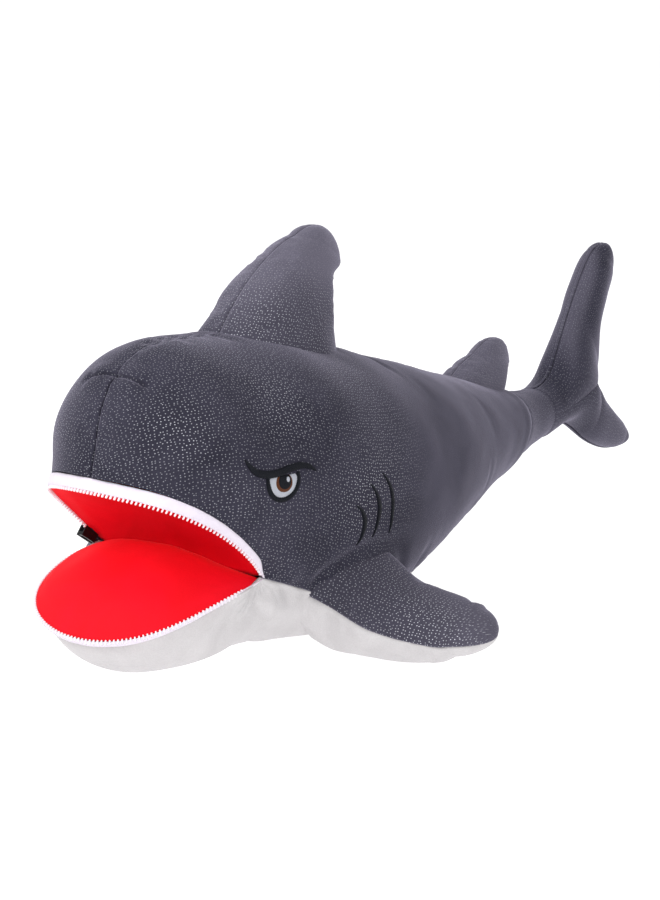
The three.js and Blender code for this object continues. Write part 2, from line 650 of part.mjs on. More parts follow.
const gills = [
  [[62, 112, 0.5], [66, 105, 1.4], [67, 98, 1.7], [65, 90, 1.4], [61, 84, 0.5]],
  [[76, 126, 0.5], [81, 117, 1.3], [83, 106, 1.8], [82, 96, 1.5], [78, 88, 0.5]],
  [[94, 134, 0.5], [99, 125, 1.2], [101, 113, 1.6], [100, 101, 1.3], [97, 90, 0.5]],
];

// ---------- colours ----------
const cloth = (color, roughness = 0.95) => new THREE.MeshStandardMaterial({ color, roughness, metalness: 0 });
const colours = {
  grey: cloth(0x46454f),
  white: cloth(0xeceaea),
  red: cloth(0xe2041b),
  filling: cloth(0xf6f4ee, 1),
  tape: cloth(0xeee6f2),
  teeth: new THREE.MeshStandardMaterial({ color: 0xf2ecf4, roughness: 0.45, metalness: 0 }),
  black: new THREE.MeshStandardMaterial({ color: 0x101012, roughness: 0.4, metalness: 0.4 }),
  thread: cloth(0x14161f, 0.6),
  whiteThread: cloth(0xe9ebf2, 0.6),
  brownThread: cloth(0x6a3b22, 0.6),
};

// ---------- assembly ----------
const shark = new THREE.Group();
function add(name, solid, colour) {
  const mesh = new THREE.Mesh(geometryOf(solid), colour);
  mesh.name = name;
  shark.add(mesh);
}
function addPair(name, solid, colour) {
  add(`${name}_left`, solid, colour);
  add(`${name}_right`, mirrored(solid), colour);
}

addPair("side_panel", sidePanel(), colours.grey);
add("belly_panel", bellyPanel(), colours.white);
add("trunk_stuffing", trunkCore(skin + slack, trunkRows.map((y) => Math.max(y, 6))).subtract(tailSocket()), colours.filling);
add("head_stuffing", headCore(), colours.filling);
add("palate_lining", mouthSheet("upper", roof(liningRest), roof(liningRest + skin)), colours.red);
add("zip_tape_upper", tape("upper", 111), colours.tape);
add("zip_teeth_upper", teeth("upper", 111), colours.teeth);

add("jaw_panel", jawPanel(), colours.white);
add("jaw_stuffing", jawCore(), colours.filling);
add("tongue_lining", mouthSheet("lower", tongue(-liningRest), tongue(-liningRest - skin)), colours.red);
add("zip_tape_lower", tape("lower", 97), colours.tape);
add("zip_teeth_lower", teeth("lower", 97), colours.teeth);

add("zip_slider", placeOnLip(sliderBlock(), -slideStart), colours.black);
add("zip_pull", placeOnLip(pullTab().rotate([0, 0, pullHang]).translate([-1.25, 5, 0]), -slideStart), colours.black);

const hull = bodyHull(gap + 0.2);
add("dorsal_panel_left", finHalf(dorsal, 0).subtract(hull), colours.grey);
add("dorsal_panel_right", finHalf(dorsal, Math.PI).subtract(hull), colours.grey);
add("dorsal_stuffing", finCore(dorsal).subtract(hull), colours.filling);
add("second_dorsal_panel_left", finHalf(secondDorsal, 0).subtract(hull), colours.grey);
add("second_dorsal_panel_right", finHalf(secondDorsal, Math.PI).subtract(hull), colours.grey);
add("second_dorsal_stuffing", finCore(secondDorsal).subtract(hull), colours.filling);
addPair("side_fin_top", finHalf(sideFin, 0).subtract(hull), colours.grey);
addPair("side_fin_base", finHalf(sideFin, Math.PI).subtract(hull), colours.white);
addPair("side_fin_stuffing", finCore(sideFin).subtract(hull), colours.filling);

const tail = tailPieces();
addPair("tail_panel", tail.panel, colours.grey);
add("tail_stuffing", tail.core, colours.filling);

addPair("eye_white", patch([eyeAt[0], 137], eyeOutline, 0.2, 0.4), colours.whiteThread);
addPair("eye_iris", patch([0.8, 140], oval(0.8, 140.5, 6.4, 6.8), 0.7, 0.35), colours.brownThread);
addPair("eye_pupil", patch([0.5, 141], oval(0.5, 141.5, 3.5, 5.6), 1.15, 0.3), colours.thread);
addPair("eye_glint", patch([4, 142.4], oval(4, 142.4, 2, 2.3), 1.55, 0.3), colours.whiteThread);
addPair("eye_rim", band(rimLine, 0.8, 0.5), colours.thread);
addPair("brow", band(browLine, 2, 0.6), colours.thread);
gills.forEach((line, i) => addPair(`gill_${i + 1}`, band(line, 0.2, 0.8), colours.thread));

const bounds = new THREE.Box3().setFromObject(shark);
shark.position.set(0, -(bounds.min.y + bounds.max.y) / 2, -bounds.min.z);

export default shark;
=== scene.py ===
# A plush shark with a zip mouth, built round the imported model.
# Lengths are millimetres in the shark's own frame: x to its left, y towards its tail from the line through the
# corners of its mouth, z up from the ground. place() turns them into metres in the model's frame.
import json
import math

import bmesh
import bpy
import numpy as np
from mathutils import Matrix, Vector
from mathutils.bvhtree import BVHTree


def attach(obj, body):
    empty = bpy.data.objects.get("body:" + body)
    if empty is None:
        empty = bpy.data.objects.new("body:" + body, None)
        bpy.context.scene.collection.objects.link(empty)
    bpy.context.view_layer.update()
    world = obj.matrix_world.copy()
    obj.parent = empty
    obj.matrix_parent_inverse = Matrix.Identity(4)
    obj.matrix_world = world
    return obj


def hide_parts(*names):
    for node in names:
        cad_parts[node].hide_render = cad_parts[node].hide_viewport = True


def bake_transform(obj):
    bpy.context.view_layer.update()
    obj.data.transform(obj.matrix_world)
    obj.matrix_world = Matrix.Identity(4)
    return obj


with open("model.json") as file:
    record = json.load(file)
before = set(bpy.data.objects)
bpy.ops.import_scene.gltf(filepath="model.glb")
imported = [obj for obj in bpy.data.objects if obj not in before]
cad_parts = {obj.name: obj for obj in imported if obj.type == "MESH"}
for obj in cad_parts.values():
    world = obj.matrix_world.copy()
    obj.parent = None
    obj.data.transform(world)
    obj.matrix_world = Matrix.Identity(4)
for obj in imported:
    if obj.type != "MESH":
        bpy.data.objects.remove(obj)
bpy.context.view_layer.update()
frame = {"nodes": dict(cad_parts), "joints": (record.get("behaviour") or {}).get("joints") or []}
joints = {j["name"]: j for j in frame["joints"]}
cornerLine = np.array(joints["jaw_close"]["pos_m"])
cornerHeight = cornerLine[2] * 1000

mouth = {
    "cornerHalf": 79,  # half the distance between the corners
    "reach": 118,  # from the corner line to the middle of either lip
    "upperSlope": 39.5,
    "lowerSlope": -13,
    "upperBand": 9.6,  # tape that shows above the upper teeth
    "lowerBand": 4.6,
    "upperPinch": 0.055,  # share of its width by which a lip is drawn in at its sides
    "lowerPinch": 0.085,
    "frontPinch": 0.055,
    "sag": 0.0018,
    "level": 92,  # how far out from the corner line the bent lips cross their flat arcs
}
lipBody = {"upper": "trunk", "lower": "jaw"}
lipRadius = (mouth["cornerHalf"] ** 2 + mouth["reach"] ** 2) / (2 * mouth["reach"])
lipCentre = mouth["reach"] - lipRadius
lipEnd = math.pi - math.asin(mouth["cornerHalf"] / lipRadius)


def smoothLine(xs, ys):
    # cubic pieces through stations; each slope is the mean of its neighbours' rises, weighted by their spans
    xs, ys = np.array(xs, float), np.array(ys, float)
    step = np.diff(xs)
    rise = np.diff(ys) / step
    slope = np.empty(len(ys))
    slope[1:-1] = (rise[:-1] * step[1:] + rise[1:] * step[:-1]) / (step[1:] + step[:-1])
    slope[0] = 1.5 * rise[0] - 0.5 * slope[1]
    slope[-1] = 1.5 * rise[-1] - 0.5 * slope[-2]

    def value(x):
        x = np.clip(x, xs[0], xs[-1])
        i = np.clip(np.searchsorted(xs, x, side="right") - 1, 0, len(xs) - 2)
        t = (x - xs[i]) / step[i]
        start = (2 * t**3 - 3 * t**2 + 1) * ys[i] + (t**3 - 2 * t**2 + t) * step[i] * slope[i]
        return start + (3 * t**2 - 2 * t**3) * ys[i + 1] + (t**3 - t**2) * step[i] * slope[i + 1]

    return value


def ease(x, low, high):
    # 0 below low, 1 above high, and a smooth step between them
    t = np.clip((x - low) / (high - low), 0, 1)
    return t * t * (3 - 2 * t)


def xyz(x, y, z):
    # numbers or arrays of matching shapes as one array of points
    return np.stack(np.broadcast_arrays(x, y, z), -1).astype(float)


def mirror(points):
    # the same points on the shark's other side
    return points * [-1, 1, 1]


def place(points):
    # millimetres from the corner line to metres in the model's frame
    return np.asarray(points) * 0.001 + [0, cornerLine[1], 0]


def unit(v):
    # each vector divided by its length
    return v / np.maximum(np.linalg.norm(v, axis=-1, keepdims=True), 1e-9)


def signedPower(value, power):
    # squares off (below 1) or sharpens (above 1) a sine or cosine, and keeps its sign
    return np.sign(value) * np.abs(value) ** power


def outward(points, inside):
    # normals of a grid of points, on the side away from the inside points
    normal = unit(np.cross(np.gradient(points, axis=0), np.gradient(points, axis=1)))
    side = np.sign(np.sum(normal * (points - inside), -1, keepdims=True))
    return normal * np.where(side == 0, 1, side)


def ripple(points, seed, wave):
    # six sine waves in fixed random directions, of about the given wavelength
    rng = np.random.default_rng(seed)
    total = np.zeros(points.shape[:-1])
    for _ in range(6):
        total += np.sin(points @ unit(rng.normal(size=3)) * (2 * math.pi / wave) * rng.uniform(0.7, 1.4)
                        + rng.uniform(0, 2 * math.pi))
    return total / math.sqrt(6)


def along(points, axis):
    # running length along one axis of a grid
    step = np.linalg.norm(np.diff(points, axis=axis), axis=-1)
    start = np.zeros_like(np.take(step, [0], axis=axis))
    return np.concatenate([start, np.cumsum(step, axis=axis)], axis=axis)


def groove(distance, depth=1.5, width=1.6, crown=0.9, reach=16):
    # a sewn seam: a narrow valley with the fabric standing a little proud on both sides of it
    puff = crown * (distance / reach) * np.exp(1 - distance / reach)
    return puff - depth * np.exp(-((distance / width) ** 2))


def seamPuff(distance, height=1.5, rise=1.8, reach=18):
    # an edge sewn to its neighbour: nothing at the seam itself, then the fabric rises quickly and settles slowly
    return height * (1 - np.exp(-distance / rise)) * np.exp(-distance / reach)


def quads(rows, columns, closed=False):
    # the corners of each cell of a grid counted row by row; a closed grid's last column joins its first
    i = np.arange(rows - 1)[:, None] * columns
    j = np.arange(columns if closed else columns - 1)[None, :]
    k = (j + 1) % columns
    return np.stack([i + j, i + k, i + columns + k, i + columns + j], -1).reshape(-1, 4)


def rework(piece, change):
    # makes one change to an editable copy of the mesh and puts it back
    work = bmesh.new()
    work.from_mesh(piece.data)
    change(work)
    work.to_mesh(piece.data)
    work.free()


def weld(piece, distance):
    # points closer than the distance become one, and faces left without area go
    def change(work):
        bmesh.ops.remove_doubles(work, verts=work.verts, dist=distance)
        bmesh.ops.dissolve_degenerate(work, edges=work.edges, dist=distance)

    rework(piece, change)


def turnOut(piece, endRows=(), columns=0):
    # closes the given rows of points with a face each, then turns every face outwards
    def change(work):
        work.verts.ensure_lookup_table()
        for row in endRows:
            corners = [work.verts[row * columns + k] for k in range(columns)]
            work.faces.new(corners if row else corners[::-1])
        bmesh.ops.recalc_face_normals(work, faces=work.faces)

    rework(piece, change)


def addPiece(name, points, faces):
    # an object in the scene, from points in millimetres
    mesh = bpy.data.meshes.new(name)
    mesh.from_pydata(place(points).tolist(), [], faces)
    piece = bpy.data.objects.new(name, mesh)
    bpy.context.scene.collection.objects.link(piece)
    return piece


def cover(piece, material):
    # smooth shading and one material
    mesh = piece.data
    mesh.polygons.foreach_set("use_smooth", [True] * len(mesh.polygons))
    mesh.materials.append(material)
    return piece


def makePiece(name, grids, inside, material, uvs=None, merge=2e-5, closed=False):
    # one object from one or more grids of points; its faces are turned away from the inside point
    faces, count = [], 0
    for grid in grids:
        faces.append(quads(*grid.shape[:2], closed) + count)
        count += grid.shape[0] * grid.shape[1]
    points, faces = np.concatenate([grid.reshape(-1, 3) for grid in grids]), np.concatenate(faces)
    a, b, c = (points[faces[:, k]] for k in (0, 1, 3))
    facing = np.sum(np.cross(b - a, c - a) * (points[faces].mean(1) - inside), -1).sum()
    if facing < 0:
        faces = faces[:, ::-1]
    piece = addPiece(name, points, faces.tolist())
    if uvs is not None:
        flat = np.concatenate([u.reshape(-1, 2) for u in uvs])
        layer = piece.data.uv_layers.new(name="UVMap")
        layer.data.foreach_set("uv", flat[faces.ravel()].ravel().astype(np.float32))
    if merge:
        weld(piece, merge)
    return cover(piece, material)


cloth = {
    "pressure": 4.0,
    "frames": 20,
    "spare": 0.03,  # how much larger the cloth is cut than the shape it covers
    "cap": 1.7,  # mm, the furthest the cloth may move a point
    "smaller": 1.3,  # mm, how far inside the drawn surface the free cloth starts
    "rowStep": 3,
    "columnStep": 2,
    "scale": 10.0,
    "quality": 6,
    "mass": 0.15,
    "stiffness": 40,
    "shear": 8,
    "bending": 0.3,
}


def settleCloth(name, grid, normal, free):
    # the panel, a little larger than its outline, is sewn down where free is 0 and blown out by its filling; returns
    # how far each point goes along its normal: the capped movement of the cloth, less what it starts inside
    rows, columns = grid.shape[:2]
    r = np.unique(np.append(np.arange(0, rows, cloth["rowStep"]), rows - 1))
    c = np.unique(np.append(np.arange(0, columns, cloth["columnStep"]), columns - 1))
    coarse = grid[np.ix_(r, c)]
    # the solver's settings suit things some metres across; points that fall together become one
    every = np.round(place(coarse).reshape(-1, 3) * cloth["scale"], 3)
    start, same = np.unique(every, axis=0, return_inverse=True)
    same = same.ravel()
    corners = quads(len(r), len(c))
    a, b, d = (every[corners[:, k]] for k in (0, 1, 3))
    out = normal[np.ix_(r, c)].reshape(-1, 3)[corners[:, 0]]
    if np.sum(np.cross(b - a, d - a) * out) < 0:
        corners = corners[:, ::-1]
    faces = [list(dict.fromkeys(face)) for face in same[corners].tolist()]
    mesh = bpy.data.meshes.new(name + "Cloth")
    mesh.from_pydata(start.tolist(), [], [face for face in faces if len(face) > 2])
    piece = bpy.data.objects.new(mesh.name, mesh)
    bpy.context.scene.collection.objects.link(piece)
    loose = np.ones(len(start))
    np.minimum.at(loose, same, np.broadcast_to(free, grid.shape[:2])[np.ix_(r, c)].ravel())
    pinned = piece.vertex_groups.new(name="pinned")
    for k, share in enumerate(loose):
        pinned.add([k], float(1 - share), "REPLACE")
    fabric = piece.modifiers.new("fabric", "CLOTH")
    fabric.settings.quality = cloth["quality"]
    fabric.settings.mass = cloth["mass"]
    fabric.settings.tension_stiffness = fabric.settings.compression_stiffness = cloth["stiffness"]
    fabric.settings.shear_stiffness, fabric.settings.bending_stiffness = cloth["shear"], cloth["bending"]
    fabric.settings.vertex_group_mass = "pinned"
    fabric.settings.shrink_min = -cloth["spare"]
    fabric.settings.use_pressure = True
    fabric.settings.uniform_pressure_force = cloth["pressure"]
    fabric.settings.effector_weights.gravity = 0
    fabric.collision_settings.use_collision = False
    fabric.point_cache.frame_start, fabric.point_cache.frame_end = 1, cloth["frames"]
    for f in range(1, cloth["frames"] + 1):
        bpy.context.scene.frame_set(f)
    settled = piece.evaluated_get(bpy.context.evaluated_depsgraph_get()).data
    moved = np.empty(len(settled.vertices) * 3, np.float32)
    settled.vertices.foreach_get("co", moved)
    moved = (moved.reshape(-1, 3) - start)[same].reshape(coarse.shape) * (1000 / cloth["scale"])
    bpy.data.objects.remove(piece)
    bpy.context.scene.frame_set(1)
    lift = np.sum(moved * normal[np.ix_(r, c)], -1)
    print("cloth", name, "moves", round(float(lift.min()), 2), "to", round(float(lift.max()), 2), "mm uncapped")
    lift = cloth["cap"] * np.tanh(lift / cloth["cap"])
    lift -= cloth["smaller"] * np.broadcast_to(free, grid.shape[:2])[np.ix_(r, c)]
    lift = np.array([np.interp(np.arange(columns), c, row) for row in lift])
    return np.array([np.interp(np.arange(rows), r, column) for column in lift.T]).T


def setFoil(piece, foil, paintedSheen):
    # how much foil the cloth carries at each point, and how much painted sheen lightens its pile there
    mesh = piece.data
    points = np.empty(len(mesh.vertices) * 3, np.float32)
    mesh.vertices.foreach_get("co", points)
    points = (points.reshape(-1, 3) - [0, cornerLine[1], 0]) * 1000
    for label, rule in (("foil", foil), ("paintedSheen", paintedSheen)):
        mesh.attributes.new(label, "FLOAT", "POINT").data.foreach_set("value", rule(points).astype(np.float32))


def thicken(piece, thickness):
    # gives a sheet its thickness, inwards from the side that shows
    wall = piece.modifiers.new("wall", "SOLIDIFY")
    wall.thickness = thickness * 0.001
    wall.offset = -1
    return piece


def finish(piece, slot, *nodes):
    # hides the solids it stands for; the slot is not used
    if nodes:
        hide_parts(*nodes)
    return piece


def feed(node, values):
    # each named or numbered input gets a number, a colour or another node's output
    for label, value in values.items():
        if isinstance(value, bpy.types.NodeSocket):
            node.id_data.links.new(value, node.inputs[label])
        else:
            node.inputs[label].default_value = value


def addNode(tree, kind, values, **settings):
    # one shader node with its settings and inputs; returns its outputs
    node = tree.nodes.new("ShaderNode" + kind)
    for label, value in settings.items():
        setattr(node, label, value)
    feed(node, values)
    return node.outputs


def mathNode(tree, operation, a, b, clamp=False):
    return addNode(tree, "Math", {0: a, 1: b}, operation=operation, use_clamp=clamp)[0]


def noiseNode(tree, vector, scale, detail=2.0, rough=0.5, distortion=0.0):
    values = {"Vector": vector, "Scale": scale, "Detail": detail, "Roughness": rough, "Distortion": distortion}
    return addNode(tree, "TexNoise", values)["Fac"]


def waveNode(tree, vector, direction, scale, distortion, detail=2.0):
    values = {"Vector": vector, "Scale": scale, "Distortion": distortion, "Detail": detail}
    return addNode(tree, "TexWave", values, bands_direction=direction)["Fac"]


def rangeNode(tree, value, fromLow, fromHigh, toLow, toHigh):
    # a smooth step from one range to another
    values = dict(enumerate((value, fromLow, fromHigh, toLow, toHigh)))
    return addNode(tree, "MapRange", values, interpolation_type="SMOOTHSTEP")[0]


def mixNode(tree, factor, a, b):
    return addNode(tree, "Mix", {0: factor, 6: a, 7: b}, data_type="RGBA")[2]


def bumpNode(tree, height, distance, strength):
    return addNode(tree, "Bump", {"Height": height, "Distance": distance, "Strength": strength})["Normal"]


def newMaterial(name):
    material = bpy.data.materials.new(name)
    material.use_nodes = True
    return material, material.node_tree, material.node_tree.nodes["Principled BSDF"]


def newGroup(name, inputs, outputs):
    # a group that takes a vector and some numbers and gives numbers
    tree = bpy.data.node_groups.new(name, "ShaderNodeTree")
    tree.interface.new_socket("Vector", in_out="INPUT", socket_type="NodeSocketVector")
    for label, value in inputs.items():
        tree.interface.new_socket(label, in_out="INPUT", socket_type="NodeSocketFloat").default_value = value
    for label in outputs:
        tree.interface.new_socket(label, in_out="OUTPUT", socket_type="NodeSocketFloat")
    return tree, tree.nodes.new("NodeGroupInput").outputs, tree.nodes.new("NodeGroupOutput")


def makePileGroup():
    # short pile: fine tufts, and larger patches where the pile lies another way
    tree, given, put = newGroup("pileOfVelour", {"Tufts": 900.0, "Patches": 18.0}, ("Height", "Patch"))
    patches = noiseNode(tree, given["Vector"], given["Patches"], 4, 0.62, 0.6)
    feed(put, {"Height": noiseNode(tree, given["Vector"], given["Tufts"], 3),
               "Patch": rangeNode(tree, patches, 0.3, 0.7, 0, 1)})
    return tree


def makeFoilGroup():
    # small foil dots printed on the flat cloth: discs round the points of a slightly loosened lattice
    tree, given, put = newGroup("foilDots", {"Spacing": 0.3, "Looseness": 0.4, "Radius": 0.15}, ("Mask", "Shade"))
    values = {"Vector": given["Vector"], "Scale": given["Spacing"], "Randomness": given["Looseness"]}
    cells = addNode(tree, "TexVoronoi", values, voronoi_dimensions="2D")
    left = mathNode(tree, "SUBTRACT", given["Radius"], cells["Distance"])
    feed(put, {"Mask": mathNode(tree, "MULTIPLY", left, 16.0, clamp=True),
               "Shade": addNode(tree, "SeparateColor", {0: cells["Color"]})[0]})
    return tree


def makeThreadGroup():
    # satin stitch: threads side by side across the piece's own V direction, each a small round ridge
    tree, given, put = newGroup("satinThreads", {"Threads": 2.2}, ("Height", "Shade"))
    feed(put, {"Height": waveNode(tree, given["Vector"], "X", given["Threads"], 0.9, 1),
               "Shade": noiseNode(tree, given["Vector"], 1.3)})
    return tree


pileGroup, foilGroup, threadGroup = makePileGroup(), makeFoilGroup(), makeThreadGroup()


def placeGroup(tree, group, values):
    return addNode(tree, "Group", values, node_tree=group)


def attribute(tree, name):
    # a value stored at the points of the mesh
    return addNode(tree, "Attribute", {}, attribute_name=name)["Fac"]


def makeCloth(name, dark, light, roughness, sheen, sheenTint, pile=0.0004, patches=16.0, grain=0.04, foil=None):
    # pile in two shades, darker between its tufts; printed cloth has painted sheen in places and dots of foil as well
    material, tree, shader = newMaterial(name)
    where = addNode(tree, "TexCoord", {})
    velour = placeGroup(tree, pileGroup, {"Vector": where["Object"], "Tufts": 1100.0, "Patches": patches})
    height = velour["Height"]
    colour = mixNode(tree, velour["Patch"], dark, light)
    if foil:
        # painted sheen: the pile is mixed towards a lighter colour where the mesh asks for it
        colour = mixNode(tree, attribute(tree, "paintedSheen"), colour, foil["paintedSheen"])
    tuft = rangeNode(tree, height, 0.3, 0.7, 1 - grain, 1 + grain)
    colour = addNode(tree, "VectorMath", {0: colour, "Scale": tuft}, operation="SCALE")[0]
    if foil:
        dots = placeGroup(tree, foilGroup, {"Vector": where["UV"], **foil["dots"]})
        # on the body the foil value also holds painted highlights, so the dots there are brighter in a few patches
        mask = mathNode(tree, "MULTIPLY", dots["Mask"], attribute(tree, "foil"))
        gleam = rangeNode(tree, noiseNode(tree, where["Object"], 14.0), 0.38, 0.62, 0.6, 1)
        glint = mathNode(tree, "MULTIPLY", mask, rangeNode(tree, dots["Shade"], 0, 1, 0.55, 1))
        glint = mathNode(tree, "MULTIPLY", glint, gleam)
        colour = mixNode(tree, glint, colour, foil["colour"])
        feed(shader, {"Metallic": mathNode(tree, "MULTIPLY", glint, foil["metal"]),
                      "Roughness": rangeNode(tree, mask, 0, 1, roughness, 0.35)})
    else:
        feed(shader, {"Roughness": rangeNode(tree, height, 0.2, 0.8, roughness, roughness - 0.06)})
    feed(shader, {"Base Color": colour, "Sheen Weight": sheen, "Sheen Roughness": 0.38, "Sheen Tint": sheenTint,
                  "Specular IOR Level": 0.15, "Normal": bumpNode(tree, height, pile, 0.6)})
    return material


def makeThread(name, colour, light, roughness=0.42):
    # shiny on the ridge of each thread and duller between threads
    material, tree, shader = newMaterial(name)
    where = addNode(tree, "TexCoord", {})["UV"]
    satin = placeGroup(tree, threadGroup, {"Vector": where, "Threads": 2.2})
    feed(shader, {"Base Color": mixNode(tree, satin["Shade"], colour, light),
                  "Roughness": rangeNode(tree, satin["Height"], 0, 1, roughness + 0.2, roughness),
                  "Normal": bumpNode(tree, satin["Height"], 0.00025, 0.8), "Specular IOR Level": 0.2})
    return material


greyVelour = makeCloth(
    "greyVelour", (0.022, 0.021, 0.034, 1), (0.038, 0.036, 0.055, 1), 0.9, 0.5, (0.62, 0.58, 0.74, 1), grain=0.13,
    foil={
        # the colour of the painted sheen
        "paintedSheen": (0.15, 0.14, 0.185, 1),
        "dots": {"Spacing": 0.4, "Looseness": 0.62, "Radius": 0.17},
        "colour": (0.66, 0.67, 0.74, 1),
        "metal": 0.45,
    },
)
whitePlush = makeCloth("whitePlush", (0.55, 0.53, 0.54, 1), (0.61, 0.59, 0.60, 1), 0.92, 0.25, (1, 0.97, 0.99, 1),
                       patches=30.0)
redVelour = makeCloth("redVelour", (0.76, 0.0015, 0.010, 1), (0.88, 0.002, 0.016, 1), 0.75, 0.1, (1, 0.3, 0.3, 1),
                      0.00015, 14.0, 0.02)
blackThread = makeThread("blackThread", (0.004, 0.005, 0.009, 1), (0.008, 0.010, 0.018, 1), 0.5)
whiteThread = makeThread("whiteThread", (0.62, 0.65, 0.75, 1), (0.76, 0.78, 0.86, 1))
brownThread = makeThread("brownThread", (0.10, 0.03, 0.012, 1), (0.20, 0.065, 0.025, 1))


def makeTapeMaterial():
    # woven tape: ribs along it, crossed by finer threads
    material, tree, shader = newMaterial("zipTapeWeave")
    where = addNode(tree, "TexCoord", {})["UV"]
    height = mathNode(tree, "MULTIPLY", waveNode(tree, where, "X", 0.62, 0.4), waveNode(tree, where, "Y", 0.8, 0.4))
    spots = noiseNode(tree, where, 0.25)
    feed(shader, {"Base Color": mixNode(tree, spots, (0.78, 0.70, 0.82, 1), (0.86, 0.80, 0.89, 1)),
                  "Roughness": rangeNode(tree, height, 0, 1, 0.9, 0.7),
                  "Normal": bumpNode(tree, height, 0.0002, 0.7), "Sheen Weight": 0.25})
    return material


def makePlainMaterial(name, dark, light, rough, metallic, grain, bump):
    # moulded or enamelled surface: slight colour and gloss variation over a fine grain
    material, tree, shader = newMaterial(name)
    spots = noiseNode(tree, addNode(tree, "TexCoord", {})["Object"], grain, 3)
    feed(shader, {"Base Color": mixNode(tree, spots, dark, light), "Metallic": metallic,
                  "Roughness": rangeNode(tree, spots, 0.3, 0.7, *rough), "Normal": bumpNode(tree, spots, bump, 0.5)})
    return material


zipTape = makeTapeMaterial()
zipTeeth = makePlainMaterial("zipTeethPlastic", (0.82, 0.76, 0.83, 1), (0.9, 0.85, 0.9, 1), (0.42, 0.3), 0, 700,
                             0.00005)
blackEnamel = makePlainMaterial("blackEnamel", (0.006, 0.006, 0.007, 1), (0.014, 0.014, 0.016, 1), (0.42, 0.26), 0.5,
                                500, 0.00004)
print("materials ready")

body = {
    "stations": [0, 60, 130, 210, 300, 380, 450, 530],
    "back": [231, 227, 212, 189.5, 163, 138.5, 122, 124],
    "half": [99, 112.5, 115, 101.5, 75, 50, 29, 15],
    "widest": [122, 118, 108, 102, 102, 101, 100, 104],
    "belly": [12, 3, -1.3, 8, 32, 54, 72, 84],
    "seamStations": [0, 30, 60, 130, 210, 300, 380, 428],
    "seamHalf": [79, 86, 91, 90, 66, 40, 17, 0],
    "seamHeight": [70, 57.5, 44, 31.5, 36, 48, 60.5, 66],
    "headTilts": [39.5, 52, 62, 74, 90],
    "headReach": [111.5, 128, 149, 160, 161],
    "headHalf": [lipRadius, 86.5, 90.5, 95, 99],
    "headWidest": [lipCentre, 37, 42, 47, 52],
    "jawTilts": [-90, -60, -35, -13],
    "jawReach": [57.5, 80, 104, 118],
    "tailStart": 470,  # where the back turns into the tail's two lobes
}
def linesOf(stations, *names):
    # one smooth line for each named row of the body's table
    return [smoothLine(body[stations], body[name]) for name in names]


backLine, halfWidth, widestAt, bellyLine = linesOf("stations", "back", "half", "widest", "belly")
seamHalfLine, seamHeightLine = linesOf("seamStations", "seamHalf", "seamHeight")
headReach, headHalf, headWidest = linesOf("headTilts", "headReach", "headHalf", "headWidest")
jawReach, = linesOf("jawTilts", "jawReach")


def seamAt(y):
    # where the grey panel meets the white one; past the white panel's point it is the middle of the underside
    past = y >= body["seamStations"][-1]
    return np.where(past, 0, np.maximum(seamHalfLine(y), 0)), np.where(past, bellyLine(y), seamHeightLine(y))


def section(t, half, top, widest, seamX, seamZ):
    # an ellipse from the top (t 0) past its widest point to the seam (t 1)
    end = math.pi - np.arcsin(np.clip(seamX / half, 0, 1))
    low = (widest - seamZ) / np.abs(np.cos(end))
    c = np.cos(t * end)
    return half * np.sin(t * end), widest + np.where(c > 0, top - widest, low) * c


def headPoint(tilt, t):
    # the section's plane turns about the line through the mouth's corners
    x, r = section(t, headHalf(tilt), headReach(tilt), headWidest(tilt), mouth["cornerHalf"], 0)
    a = np.radians(tilt)
    return xyz(x, -r * np.cos(a), cornerHeight + r * np.sin(a))


def trunkPoint(y, t):
    # the section's plane moves along the back
    seamX, seamZ = seamAt(y)
    x, z = section(t, halfWidth(y), backLine(y), widestAt(y), seamX, seamZ)
    return xyz(x, y, z)


def bellyPoint(y, t):
    # a full, boxy quarter from the seam (t 0) to the middle of the belly (t 1)
    seamX, seamZ = seamAt(y)
    c, s = np.maximum(0, np.cos(t * math.pi / 2)) ** 0.68, np.sin(t * math.pi / 2) ** 0.8
    return xyz(seamX * c, y, seamZ - (seamZ - bellyLine(y)) * s)


def jawPoint(tilt, t):
    # the lip's arc at the top turns into the belly's boxy section at the throat
    blend = np.clip((tilt - mouth["lowerSlope"]) / (-90 - mouth["lowerSlope"]), 0, 1) ** 0.8
    angle = (1 - t) * lipEnd
    c, s = np.maximum(0, np.cos(t * math.pi / 2)) ** 0.83, np.sin(t * math.pi / 2) ** 0.83
    x = lipRadius * np.sin(angle) * (1 - blend) + mouth["cornerHalf"] * c * blend
    full = (lipCentre + lipRadius * np.cos(angle)) * (1 - blend) + mouth["reach"] * s * blend
    r = full * jawReach(tilt) / mouth["reach"]
    a = np.radians(tilt)
    return xyz(x, -r * np.cos(a), cornerHeight + r * np.sin(a))


def fromLip(lip, x, s, n):
    # x, s out from the corner line in the lip's sloping plane and n above that plane
    slope = math.radians(mouth[lip + "Slope"])
    return xyz(x, n * math.sin(slope) - s * math.cos(slope), cornerHeight + s * math.sin(slope) + n * math.cos(slope))


def lipPoint(lip, angle, radius, n):
    # a place by a lip: angle round it, radius from its arc's centre, n away from the mouth
    s = lipCentre + radius * np.cos(angle)
    up = (n if lip == "upper" else -n) - sag(s)
    return fromLip(lip, *pinch(radius * np.sin(angle), s, lip), up)


def sag(s):
    # the stuffed lips bend: both hang lower at the front and ride higher half way along
    return np.where(s > 0, mouth["sag"] * s * (s - mouth["level"]), 0)


def pinch(x, s, lip, share=1.0):
    # the lips' arcs drawn in a little at the sides and the front, as the stuffing pulls the tape
    part = np.clip(s / mouth["reach"], 0, 1)
    side = 1 - mouth[lip + "Pinch"] * share * np.sin(math.pi * part**0.8)
    return x * side, s * (1 - mouth["frontPinch"] * share * part**2)


